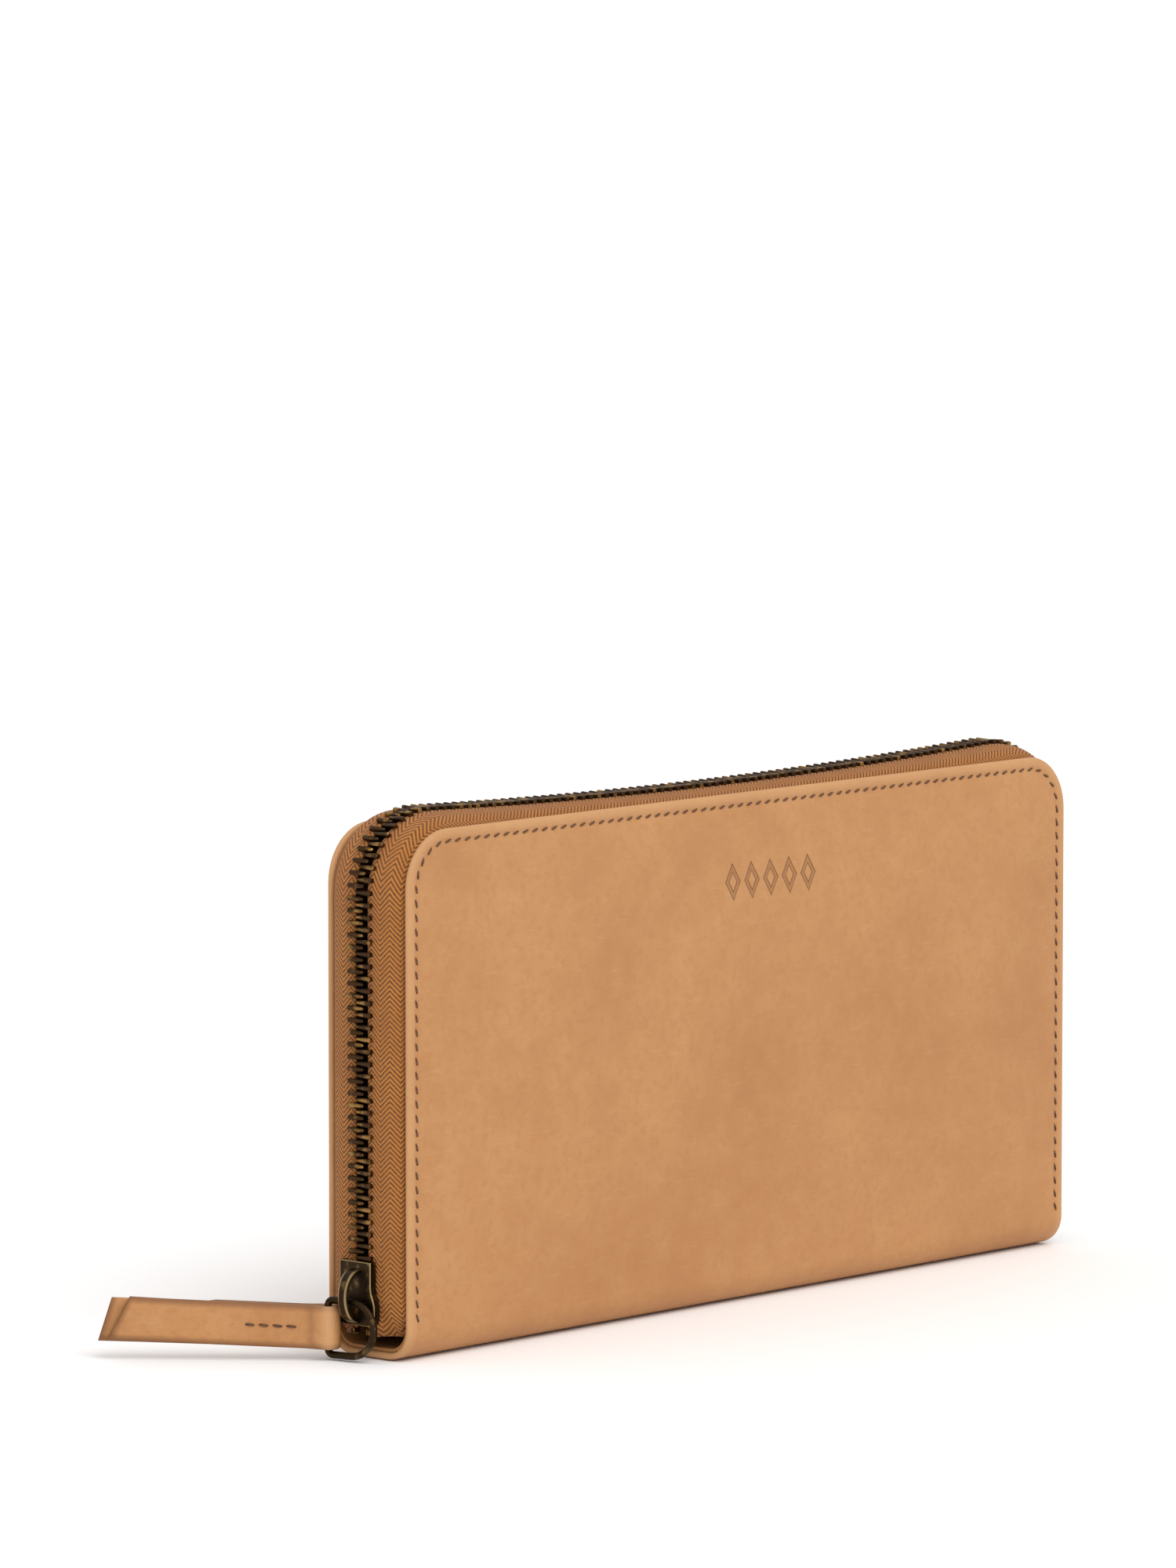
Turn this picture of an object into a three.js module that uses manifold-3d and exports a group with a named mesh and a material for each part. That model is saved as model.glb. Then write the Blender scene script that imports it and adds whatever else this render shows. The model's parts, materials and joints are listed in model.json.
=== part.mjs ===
// A long zip-around wallet, standing on its spine.
//
// One piece of leather wraps the front, the spine and the back. A metal zip runs up one short side, along the
// top and down the other short side, so the two halves open about the spine like a book. Inside are card slots
// on both halves, pleated end gussets and a zipped coin pocket that hangs between the halves.
//
// Units are millimetres. X runs along the wallet, +Y points to the back, +Z is up, and the origin is the
// middle of the spine's underside. A layer's place in a half is given as its distance from the middle plane.

import * as THREE from "three";
import { mergeVertices } from "three/addons/utils/BufferGeometryUtils.js";
import Module from "manifold-3d";

const wasm = await Module();
wasm.setup();

// ---------------------------------------------------------------- driving dimensions

const LENGTH = 195; // of the leather, along X
const HEIGHT = 100; // of the leather, from the spine's underside
const THICKNESS = 21; // over both covers
const CORNER_R = 11; // of the cover's top corners
const SPINE_R = 6; // outside radius of the folds between spine and covers

const LEATHER = 1.3; // cover leather
const THIN_LEATHER = 0.6; // linings and card slots
const BOARD = 0.7; // stiffener board
const GAP = 0.1; // between stacked layers
const ARC_STEPS = 6; // straight pieces in a quarter circle

const ZIP_CREST_X = 99.2; // outer face of the zip tape at the short sides
const ZIP_CREST_Z = 102.4; // outer face of the zip tape along the top
const ZIP_CORNER_R = 15;
const ZIP_BULGE = 3.2; // how far the tape arches out from where it leaves the leather
const ZIP_ARCH_Y = 5.1; // how much of the thickness that arch takes
const ZIP_END_Z = 4.6; // lower ends of the tape, down in the spine's fold
const TAPE = 0.6;
const TAPE_EDGE_Y = 3; // the woven tape stops here, where the bead and the teeth begin
const FLANGE = 5; // width of tape sewn between the leather and the lining
const TAPE_FOLD_Y = 7.8; // the tape goes down into the spine's fold on this side of |y| only

const TOOTH_PITCH = 2.3;
const TOOTH_WIDTH = 0.85; // along the chain
const TOOTH_HEIGHT = 2.6; // through the tape
const TOOTH_TIP_Y = 0.9; // how far a tooth reaches past the middle plane
const BEAD_Y = 1.5; // inner side of the bead that the teeth grip
const BEAD_HEIGHT = 1.3;

const SEAM_INSET = 2.4; // stitching line from the leather's edge
const THREAD = 0.5;
const SEAM_DEPTH = 0.45; // of the groove that the thread lies in
const SEAM_WIDTH = 0.9; // of that groove

const SLIDER_Z = 6.6; // lower end of the zip slider when the wallet is shut
const SLIDER_LENGTH = 12.2;

const RING_R = 5.2; // centre line of the D-ring's arc
const RING_ARM = 5; // straight part between the arc and the bar
const RING_WIRE_R = 0.7;
const RING_TURN = THREE.MathUtils.degToRad(-80); // of the ring's plane about Z, from the XZ plane

const TAB_TURN = THREE.MathUtils.degToRad(131.7); // the way the pull tab points, from +X
const TAB_LENGTH = 42;
const TAB_WIDTH = 8;

const COIN_X = 88.5; // half length of the coin pocket
const COIN_Z = 8.5;
const COIN_TOP_Z = 76;
const COIN_WALL = 0.7;
const COIN_INNER_Y = 2.25; // half of the pocket's inside thickness

// ---------------------------------------------------------------- materials

const finish = (color, roughness, metalness = 0) =>
  new THREE.MeshStandardMaterial({ color, roughness, metalness });

const hide = finish(0xc8935f, 0.6);
const liningHide = finish(0xb98252, 0.7);
const board = finish(0x8a6a4a, 0.9);
const tapeCloth = finish(0xb87a3c, 0.85);
const thread = finish(0x8a5a30, 0.8);
const oldBrass = finish(0x5a4a35, 0.4, 1);
const pleatCloth = finish(0xa8713f, 0.9);
const coil = finish(0x8a5f36, 0.5);

// ---------------------------------------------------------------- geometry helpers

const X = new THREE.Vector3(1, 0, 0);
const Y = new THREE.Vector3(0, 1, 0);
const Z = new THREE.Vector3(0, 0, 1);

// A closed three.js geometry as a manifold-3d solid.
function solid(geometry) {
  const bare = geometry.index ? geometry.toNonIndexed() : geometry.clone();
  bare.deleteAttribute("normal");
  bare.deleteAttribute("uv");
  const merged = mergeVertices(bare, 1e-4);
  const vertProperties = merged.attributes.position.array;
  const triVerts = new Uint32Array(merged.index.array);
  return new wasm.Manifold(new wasm.Mesh({ numProp: 3, vertProperties, triVerts }));
}

function geometryOf(body) {
  const mesh = body.getMesh();
  const geometry = new THREE.BufferGeometry();
  geometry.setAttribute("position", new THREE.BufferAttribute(mesh.vertProperties, 3));
  geometry.setIndex(new THREE.BufferAttribute(mesh.triVerts, 1));
  const flat = geometry.toNonIndexed();
  flat.computeVertexNormals();
  return flat;
}

const union = (bodies) => bodies.reduce((sum, body) => sum.add(body));

function block(x0, x1, y0, y1, z0, z1) {
  const box = new THREE.BoxGeometry(x1 - x0, y1 - y0, z1 - z0);
  return box.translate((x0 + x1) / 2, (y0 + y1) / 2, (z0 + z1) / 2);
}

// A shape drawn in X and Z, made into a plate from y0 to y1.
function plate(shape, y0, y1, options = {}) {
  const depth = y1 - y0;
  const settings = { depth, bevelEnabled: false, curveSegments: ARC_STEPS, ...options };
  const flat = new THREE.ExtrudeGeometry(shape, settings);
  flat.applyMatrix4(new THREE.Matrix4().makeBasis(X, Z, Y.clone().negate()));
  return flat.translate(0, y1, 0);
}

// A shape drawn in Y and Z, made into a bar from x0 to x1.
function bar(shape, x0, x1) {
  const settings = { depth: x1 - x0, bevelEnabled: false, curveSegments: ARC_STEPS };
  const flat = new THREE.ExtrudeGeometry(shape, settings);
  flat.applyMatrix4(new THREE.Matrix4().makeBasis(Y, Z, X));
  return flat.translate(x0, 0, 0);
}

// A panel with square lower corners and round upper ones, in X and Z.
function panelShape(halfLength, bottom, top, radius) {
  const shape = new THREE.Shape();
  shape.moveTo(-halfLength, bottom);
  shape.lineTo(halfLength, bottom);
  shape.lineTo(halfLength, top - radius);
  shape.absarc(halfLength - radius, top - radius, radius, 0, Math.PI / 2);
  shape.lineTo(-halfLength + radius, top);
  shape.absarc(-halfLength + radius, top - radius, radius, Math.PI / 2, Math.PI);
  return shape;
}

// The same panel as a border of the given width, open at the bottom.
function borderShape(halfLength, bottom, top, radius, width) {
  const inner = radius - width;
  const shape = new THREE.Shape();
  shape.moveTo(halfLength - width, bottom);
  shape.lineTo(halfLength, bottom);
  shape.lineTo(halfLength, top - radius);
  shape.absarc(halfLength - radius, top - radius, radius, 0, Math.PI / 2);
  shape.lineTo(-halfLength + radius, top);
  shape.absarc(-halfLength + radius, top - radius, radius, Math.PI / 2, Math.PI);
  shape.lineTo(-halfLength, bottom);
  shape.lineTo(-halfLength + width, bottom);
  shape.lineTo(-halfLength + width, top - radius);
  shape.absarc(-halfLength + radius, top - radius, inner, Math.PI, Math.PI / 2, true);
  shape.lineTo(halfLength - radius, top - width);
  shape.absarc(halfLength - radius, top - radius, inner, Math.PI / 2, 0, true);
  return shape;
}

function piece(name, geometry, material) {
  const mesh = new THREE.Mesh(geometry, material);
  mesh.name = name;
  return mesh;
}

// Lays a plate, drawn from y = 0 outwards, at a distance |y| from the middle plane. side is -1 front, 1 back.
function layer(name, shape, side, near, depth, material) {
  const from = side < 0 ? -depth : 0;
  const mesh = piece(name, plate(shape, from, from + depth), material);
  mesh.position.y = side * near;
  return mesh;
}

// ---------------------------------------------------------------- covers

const COVER_Y = THICKNESS / 2 - LEATHER;
const BOARD_Y = COVER_Y - GAP - BOARD;
const LINING_Y = BOARD_Y - GAP - THIN_LEATHER;
const EDGE_X = LENGTH / 2;
const PANEL_Z = SPINE_R + 0.3; // lower edge of the rigid part of a cover
const FOOT_X = ZIP_CREST_X - ZIP_BULGE; // where the tape leaves the leather
const FOOT_Z = ZIP_CREST_Z - ZIP_BULGE;

// A border that follows the seam, with the seam's line in the middle of its width.
function seamShape(width) {
  const inset = SEAM_INSET - width / 2;
  return borderShape(EDGE_X - inset, PANEL_Z + 0.6, HEIGHT - inset, CORNER_R - inset, width);
}

// The stitching lies in a groove, so that the cover's face stays flat to lie on.
function coverLeather(side, name) {
  const outline = panelShape(EDGE_X, PANEL_Z, HEIGHT, CORNER_R);
  const near = side < 0 ? -LEATHER : 0;
  const floor = LEATHER - SEAM_DEPTH;
  const depths = side < 0 ? [-LEATHER - 1, -floor] : [floor, LEATHER + 1];
  const sheet = solid(plate(outline, near, near + LEATHER));
  const groove = solid(plate(seamShape(SEAM_WIDTH), ...depths));
  const mesh = piece(`${name}_cover_leather`, geometryOf(sheet.subtract(groove)), hide);
  mesh.position.y = side * COVER_Y;
  return mesh;
}

function coverPieces(side, name) {
  const boardInset = EDGE_X - FOOT_X + FLANGE + 0.5;
  const stiffener = panelShape(EDGE_X - boardInset, PANEL_Z + 2, HEIGHT - boardInset, CORNER_R / 2);
  const liningInset = EDGE_X - FOOT_X + 0.2;
  const lining = panelShape(EDGE_X - liningInset, PANEL_Z + 1, HEIGHT - liningInset, CORNER_R);
  const seamY = THICKNESS / 2 - SEAM_DEPTH + 0.05;
  return [
    coverLeather(side, name),
    layer(`${name}_edge_stitching`, seamShape(THREAD), side, seamY, SEAM_DEPTH - 0.15, thread),
    layer(`${name}_stiffener_board`, stiffener, side, BOARD_Y, BOARD, board),
    layer(`${name}_lining`, lining, side, LINING_Y, THIN_LEATHER, liningHide),
  ];
}

// The fold of leather between the covers: a flat foot and two quarter rounds.
function spineShape(outset, lift) {
  const radius = SPINE_R - outset;
  const middle = THICKNESS / 2 - SPINE_R;
  const shape = new THREE.Shape();
  shape.moveTo(-middle - radius, SPINE_R);
  shape.absarc(-middle, SPINE_R, radius, Math.PI, Math.PI * 1.5);
  shape.absarc(middle, SPINE_R, radius, Math.PI * 1.5, Math.PI * 2);
  shape.lineTo(middle + radius - lift, SPINE_R);
  shape.absarc(middle, SPINE_R, radius - lift, Math.PI * 2, Math.PI * 1.5, true);
  shape.absarc(-middle, SPINE_R, radius - lift, Math.PI * 1.5, Math.PI, true);
  return shape;
}

function spinePieces() {
  return [
    piece("spine_leather", bar(spineShape(0, LEATHER), -EDGE_X, EDGE_X), hide),
    piece("spine_lining", bar(spineShape(LEATHER + GAP, THIN_LEATHER), -EDGE_X + 1, EDGE_X - 1), liningHide),
  ];
}

// ---------------------------------------------------------------- main zip

// The tape on one side: a flange behind the leather, then an arch out and across to the bead.
function zipTape(side, name) {
  const below = -20; // the arch is made too long and trimmed, so that its lower ends are square
  const arch = (inset) => {
    const shape = panelShape(FOOT_X - inset, below, FOOT_Z - inset, ZIP_CORNER_R - ZIP_BULGE - inset);
    const end = COVER_Y - GAP - inset;
    const flat = end - ZIP_ARCH_Y;
    const bevel = { bevelEnabled: true, bevelThickness: ZIP_ARCH_Y, bevelSize: ZIP_BULGE, bevelSegments: 4 };
    return solid(plate(shape, -flat, flat, bevel));
  };
  const middle = panelShape(FOOT_X - FLANGE, below, FOOT_Z - FLANGE, ZIP_CORNER_R - ZIP_BULGE - FLANGE);
  const near = side < 0 ? -THICKNESS : TAPE_EDGE_Y;
  const keep = solid(block(-LENGTH, LENGTH, near, near + THICKNESS - TAPE_EDGE_Y, ZIP_END_Z, 2 * HEIGHT));
  // Only the middle of the tape goes down into the fold: its sewn edge stops above the spine.
  const outerY = side < 0 ? -THICKNESS : TAPE_FOLD_Y;
  const foldRoom = solid(block(-LENGTH, LENGTH, outerY, outerY + THICKNESS - TAPE_FOLD_Y, 0, PANEL_Z));
  const shell = arch(0).subtract(arch(TAPE)).subtract(solid(plate(middle, -THICKNESS, THICKNESS)));
  return piece(`${name}_zip_tape`, geometryOf(shell.intersect(keep).subtract(foldRoom)), tapeCloth);
}

// The chain's centre line, from the left lower end over the top to the right lower end.
const CHAIN_X = ZIP_CREST_X - TAPE / 2;
const CHAIN_Z = ZIP_CREST_Z - TAPE / 2;
const CHAIN_R = ZIP_CORNER_R - TAPE / 2;
const CHAIN_RUN = CHAIN_Z - CHAIN_R - ZIP_END_Z; // straight part up each short side
const STOP = 1; // height of an end stop
const STOP_LIFT = 0.2; // from the tape's end to the stop
const STOP_Y = 2.5; // outer side of a stop: clear of the slider's walls as the cover opens
const CHAIN_START = STOP + 0.4; // the rows start above the stops
const CORNER_Z = ZIP_END_Z + CHAIN_RUN; // height where the corners begin
const CORNER_RUN = (CHAIN_R * Math.PI) / 2;
const FIRST_TOOTH = 5.3; // along the chain: clear of the wedge in the slider's mouth

const chainPath = new THREE.Path();
chainPath.moveTo(-CHAIN_X, ZIP_END_Z);
chainPath.lineTo(-CHAIN_X, CHAIN_Z - CHAIN_R);
chainPath.absarc(-CHAIN_X + CHAIN_R, CHAIN_Z - CHAIN_R, CHAIN_R, Math.PI, Math.PI / 2, true);
chainPath.lineTo(CHAIN_X - CHAIN_R, CHAIN_Z);
chainPath.absarc(CHAIN_X - CHAIN_R, CHAIN_Z - CHAIN_R, CHAIN_R, Math.PI / 2, 0, true);
chainPath.lineTo(CHAIN_X, ZIP_END_Z);
const CHAIN_LENGTH = chainPath.getLength();

// Turns what lies along local X at the path's distance `along` onto the chain.
function ontoChain(geometry, along) {
  const at = chainPath.getPointAt(along / CHAIN_LENGTH);
  const way = chainPath.getTangentAt(along / CHAIN_LENGTH);
  return geometry.rotateY(-Math.atan2(way.y, way.x)).translate(at.x, 0, at.y);
}

// Teeth stand a half pitch apart on the two sides, so that they mesh.
function teethBetween(side, from, to) {
  const count = Math.floor(CHAIN_LENGTH / TOOTH_PITCH);
  const middles = Array.from({ length: count }, (_, k) => (k + (side < 0 ? 0 : 0.5)) * TOOTH_PITCH);
  return middles.filter((middle) => middle >= from && middle <= to);
}

const TOOTH_ROOT_Y = TAPE_EDGE_Y - GAP;

// A straight stretch of one row: the clamped roots as a strip, with the teeth standing on its inner side.
function straightRow(side, from, to) {
  const shape = new THREE.Shape();
  shape.moveTo(from, side * BEAD_Y);
  for (const middle of teethBetween(side, from + TOOTH_WIDTH / 2, to - TOOTH_WIDTH / 2)) {
    if (middle < FIRST_TOOTH) continue;
    shape.lineTo(middle - TOOTH_WIDTH / 2, side * BEAD_Y);
    shape.lineTo(middle - TOOTH_WIDTH / 2, -side * TOOTH_TIP_Y);
    shape.lineTo(middle + TOOTH_WIDTH / 2, -side * TOOTH_TIP_Y);
    shape.lineTo(middle + TOOTH_WIDTH / 2, side * BEAD_Y);
  }
  shape.lineTo(to, side * BEAD_Y);
  shape.lineTo(to, side * TOOTH_ROOT_Y);
  shape.lineTo(from, side * TOOTH_ROOT_Y);
  const middle = (from + to) / 2;
  const row = new THREE.ExtrudeGeometry(shape, { depth: TOOTH_HEIGHT, bevelEnabled: false });
  return ontoChain(row.translate(-middle, 0, -TOOTH_HEIGHT / 2), middle);
}

// The curved stretch at one top corner: a bent bead with single teeth round it. end is -1 left, 1 right.
function cornerRow(side, end) {
  const grow = BEAD_HEIGHT / 2;
  const outline = borderShape(CHAIN_X + grow, 0, CHAIN_Z + grow, CHAIN_R + grow, BEAD_HEIGHT);
  const near = side < 0 ? -TOOTH_ROOT_Y : BEAD_Y;
  const whole = solid(plate(outline, near, near + TOOTH_ROOT_Y - BEAD_Y));
  const x = end * (CHAIN_X - CHAIN_R - 0.1);
  const bounds = block(Math.min(x, end * LENGTH), Math.max(x, end * LENGTH), -9, 9, CORNER_Z, LENGTH);
  const reach = TOOTH_ROOT_Y + TOOTH_TIP_Y;
  const from = end < 0 ? CHAIN_RUN : CHAIN_LENGTH - CHAIN_RUN - CORNER_RUN;
  const half = TOOTH_WIDTH / 2;
  const teeth = teethBetween(side, from - half, from + CORNER_RUN + half).map((along) => {
    const tooth = new THREE.BoxGeometry(TOOTH_WIDTH, reach, TOOTH_HEIGHT);
    return solid(ontoChain(tooth.translate(0, side * (reach / 2 - TOOTH_TIP_Y), 0), along));
  });
  return union([whole.intersect(solid(bounds)), ...teeth]);
}

// One row is three runs: the left one that the slider travels, the top with both corners, and the right one.
function chainPieces(side, name) {
  const end = CHAIN_LENGTH - CHAIN_RUN;
  const top = solid(straightRow(side, CHAIN_RUN + CORNER_RUN, end - CORNER_RUN));
  const whole = union([top, cornerRow(side, -1), cornerRow(side, 1)]);
  const left = straightRow(side, CHAIN_START, CHAIN_RUN - TOOTH_PITCH / 2);
  const right = straightRow(side, end + TOOTH_PITCH / 2, CHAIN_LENGTH - CHAIN_START);
  return [
    piece(`${name}_zip_teeth_left`, left, oldBrass),
    piece(`${name}_zip_teeth_top`, geometryOf(whole), oldBrass),
    piece(`${name}_zip_teeth_right`, right, oldBrass),
    topStop(side, name),
  ];
}

function stop(x, near, far) {
  const z = ZIP_END_Z + STOP_LIFT;
  return block(x - 1, x + 1, Math.min(near, far), Math.max(near, far), z, z + STOP);
}

// The two small stops that end the slider's way lie just under it, one on each row.
function topStop(side, name) {
  return piece(`${name}_zip_top_stop`, stop(-CHAIN_X, side * BEAD_Y, side * STOP_Y), oldBrass);
}

// One wider stop closes the rows at the far end.
function bottomStop() {
  return piece("zip_bottom_stop", stop(CHAIN_X, BEAD_Y - 0.4, STOP_Y), oldBrass);
}

// ---------------------------------------------------------------- zip slider, ring and pull tab

// Slider outlines are drawn with the zip along +Z and the outside of the wallet towards -X.
const SLIDER_PLATE = 0.8;
const CHANNEL = TOOTH_HEIGHT / 2 + 0.2; // half of the room for the teeth
const SLOT = 0.6; // half of the slot that the tape runs in

function sliderOutline(inset) {
  const wide = 4.9 - inset;
  const narrow = 3.9 - inset;
  const shape = new THREE.Shape();
  shape.moveTo(-wide + 1.4, inset);
  shape.lineTo(wide - 1.4, inset);
  shape.quadraticCurveTo(wide, inset, wide, 2.2);
  shape.lineTo(wide - 0.1, 4);
  shape.quadraticCurveTo(narrow, 6, narrow, 7.5);
  shape.lineTo(narrow, SLIDER_LENGTH - inset);
  shape.lineTo(-narrow, SLIDER_LENGTH - inset);
  shape.lineTo(-narrow, 7.5);
  shape.quadraticCurveTo(-narrow, 6, -wide + 0.1, 4);
  shape.lineTo(-wide, 2.2);
  shape.quadraticCurveTo(-wide, inset, -wide + 1.4, inset);
  return shape;
}

function zipSliderBody() {
  const outside = CHANNEL + SLIDER_PLATE;
  const whole = solid(bar(sliderOutline(0), -outside, outside));
  const tall = 4 * SLIDER_LENGTH;
  const channel = new THREE.Shape();
  channel.moveTo(-4.1, -1);
  channel.lineTo(4.1, -1);
  channel.lineTo(4.0, 4);
  channel.lineTo(3.1, 7);
  channel.lineTo(3.1, tall);
  channel.lineTo(-3.1, tall);
  channel.lineTo(-3.1, 7);
  channel.lineTo(-4.0, 4);
  const room = solid(bar(channel, -CHANNEL, CHANNEL));
  const slot = solid(block(-SLOT, SLOT, -9, 9, -1, tall));
  const wedge = new THREE.Shape();
  wedge.moveTo(-0.9, 0.5);
  wedge.lineTo(0.9, 0.5);
  wedge.lineTo(0.9, 1.6);
  wedge.lineTo(0, 2.8);
  wedge.lineTo(-0.9, 1.6);
  const post = solid(bar(wedge, -outside + 0.1, outside - 0.1));
  const bridge = new THREE.Shape();
  bridge.moveTo(-outside + 0.3, 10.6);
  bridge.bezierCurveTo(-outside - 5.6, 10.2, -outside - 5.6, 1, -outside + 0.3, 0.6);
  const eye = new THREE.Path();
  eye.moveTo(-outside - 0.1, 9.4);
  eye.bezierCurveTo(-outside - 4.2, 9.3, -outside - 4.2, 1.9, -outside - 0.1, 1.9);
  bridge.holes.push(eye);
  const strap = solid(plate(bridge, -1.3, 1.3));
  return geometryOf(whole.subtract(room).subtract(slot).add(post).add(strap));
}

const HANG_X = -102.8; // where the ring's upper arm crosses the middle plane, in the slider's eye
const HANG_REACH = 0.3; // from there to the arc's centre, along the ring's plane
const RING_Z = RING_R + RING_WIRE_R + 0.2; // height of the arc's centre: the ring all but touches the ground

// The D-ring stands upright in its own XZ plane: the arc's centre at the origin, its bar on the -X side.
function ringGeometry() {
  const torus = solid(new THREE.TorusGeometry(RING_R, RING_WIRE_R, 8, 24).rotateX(Math.PI / 2));
  const arc = torus.intersect(solid(block(0, 9, -9, 9, -9, 9)));
  const wire = (length) => new THREE.CylinderGeometry(RING_WIRE_R, RING_WIRE_R, length, 8);
  const arm = (z) => solid(wire(RING_ARM + 0.1).rotateZ(Math.PI / 2).translate(-RING_ARM / 2 + 0.05, 0, z));
  const straight = solid(wire(2 * RING_R).rotateX(Math.PI / 2).translate(-RING_ARM, 0, 0));
  const elbow = (z) => solid(new THREE.SphereGeometry(RING_WIRE_R * 1.02, 8, 6).translate(-RING_ARM, 0, z));
  const bends = [arc, arm(RING_R), arm(-RING_R), straight, elbow(RING_R), elbow(-RING_R)];
  return geometryOf(union(bends));
}

// A strip of leather folded round the ring's bar and glued to itself. Local X runs out along the tab.
const TAB_HALF = 1.35;
const TAB_LOOP_R = 2.3;
const TAB_STITCHING = [5.8, 15.6]; // the row of stitches, measured from the ring's bar

function tabShape() {
  const shape = new THREE.Shape();
  shape.moveTo(0, -TAB_LOOP_R);
  shape.bezierCurveTo(2, -TAB_LOOP_R, 3, -TAB_HALF, 5, -TAB_HALF);
  shape.lineTo(TAB_LENGTH, -TAB_HALF);
  shape.lineTo(TAB_LENGTH, 0);
  shape.lineTo(TAB_LENGTH - 3, 0);
  shape.lineTo(TAB_LENGTH - 3, TAB_HALF);
  shape.lineTo(5, TAB_HALF);
  shape.bezierCurveTo(3, TAB_HALF, 2, TAB_LOOP_R, 0, TAB_LOOP_R);
  shape.absarc(0, 0, TAB_LOOP_R, Math.PI / 2, Math.PI * 1.5);
  const eye = new THREE.Path();
  eye.absarc(0, 0, TAB_LOOP_R - LEATHER, Math.PI / 2, Math.PI * 1.5);
  eye.bezierCurveTo(1.6, -0.95, 2.6, -0.2, 3.6, 0);
  eye.bezierCurveTo(2.6, 0.2, 1.6, 0.95, 0, TAB_LOOP_R - LEATHER);
  shape.holes.push(eye);
  return shape;
}

function tabGeometry() {
  const settings = { depth: TAB_WIDTH, bevelEnabled: false, curveSegments: ARC_STEPS };
  const strip = new THREE.ExtrudeGeometry(tabShape(), settings).translate(0, 0, -TAB_WIDTH / 2);
  // Each layer's end is cut on a slant: the top is shorter than the bottom.
  const slant = (end, y) => {
    const cutter = new THREE.BoxGeometry(12, 3, 30).translate(6, 0, 0).rotateY(-0.56);
    return solid(cutter.translate(end - 2.6, y, 0));
  };
  const body = solid(strip).subtract(slant(TAB_LENGTH, -1.5)).subtract(slant(TAB_LENGTH - 3, 1.5));
  return geometryOf(body);
}

function tabStitch(name, y) {
  const [start, end] = TAB_STITCHING;
  return piece(name, block(start, end, y - 0.15, y + 0.15, -0.25, 0.25), thread);
}

// ---------------------------------------------------------------- card slots, gussets and coin pocket

const SLOT_X = 88;
const SLOT_COUNT = 4;
const SLOT_STEP = 10; // each slot's mouth stands this much above the next
const SLOT_HEIGHT = 47;
const FLOOR_Z = 9; // lower edge of the lowest slots and of the gussets, just above the fold
const GUSSET_HEIGHT = 70;

function cardSlots(side, name) {
  const slots = [];
  for (let k = 0; k < SLOT_COUNT; k++) {
    const near = LINING_Y - (k + 1) * (THIN_LEATHER + GAP);
    const lower = FLOOR_Z + SLOT_STEP * (SLOT_COUNT - 1 - k);
    const shape = panelShape(SLOT_X, lower, lower + SLOT_HEIGHT, 3);
    slots.push(layer(`${name}_card_slot_${k + 1}`, shape, side, near, THIN_LEATHER, liningHide));
  }
  const last = LINING_Y - SLOT_COUNT * (THIN_LEATHER + GAP);
  const divide = new THREE.Shape().setFromPoints(
    [[-0.25, 10], [0.25, 10], [0.25, 54], [-0.25, 54]].map(([x, z]) => new THREE.Vector2(x, z)),
  );
  slots.push(layer(`${name}_card_slot_stitching`, divide, side, last - 0.27, 0.25, thread));
  return slots;
}

// A pleated end: six folds between the two linings, drawn in plan and extruded upwards.
function gusset(end) {
  const reach = LINING_Y - 0.25;
  const folds = 6;
  const outer = 94.4;
  const inner = 89.4;
  const cloth = 0.35;
  const line = [];
  for (let k = 0; k <= folds; k++) {
    line.push(new THREE.Vector2(k % 2 ? inner : outer, -reach + (2 * reach * k) / folds));
  }
  const back = [...line].reverse().map((p) => new THREE.Vector2(p.x - cloth, p.y));
  const shape = new THREE.Shape([...line, ...back]);
  const settings = { depth: GUSSET_HEIGHT, bevelEnabled: false };
  const pleats = new THREE.ExtrudeGeometry(shape, settings);
  const mesh = piece(end < 0 ? "left_gusset" : "right_gusset", pleats, pleatCloth);
  mesh.position.z = FLOOR_Z;
  mesh.rotation.z = end < 0 ? Math.PI : 0;
  return mesh;
}

const COIN_ZIP_Z = 78; // underside of the coin zip's tape
const COIN_TAPE = 0.4;
const COIN_COIL_X0 = -69.5;
const COIN_COIL_X1 = 80;
const COIN_SLIDER_X = -74.5; // middle of the coin slider when its zip is shut
const COIN_PULL_Z = 2.8; // its pull's hinge, above the tape
const COIN_TAPE_Y = COIN_INNER_Y + COIN_WALL + GAP; // the tape hangs outside the wall

function coinTape(side, name) {
  const profile = new THREE.Shape();
  const outer = COIN_TAPE_Y + COIN_TAPE;
  profile.moveTo(side * 1.7, COIN_ZIP_Z);
  profile.lineTo(side * COIN_TAPE_Y, COIN_ZIP_Z);
  profile.lineTo(side * COIN_TAPE_Y, COIN_ZIP_Z - 10);
  profile.lineTo(side * outer, COIN_ZIP_Z - 10);
  profile.lineTo(side * outer, COIN_ZIP_Z + COIN_TAPE);
  profile.lineTo(side * 1.7, COIN_ZIP_Z + COIN_TAPE);
  return piece(`coin_zip_tape_${name}`, bar(profile, -COIN_X + 2, COIN_X - 2), tapeCloth);
}

function coinCoil(side, name) {
  const near = side < 0 ? -1.6 : 0.12;
  const strip = block(COIN_COIL_X0, COIN_COIL_X1, near, near + 1.48, COIN_ZIP_Z - 0.4, COIN_ZIP_Z + 0.8);
  return piece(`coin_zip_coil_${name}`, strip, coil);
}

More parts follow.
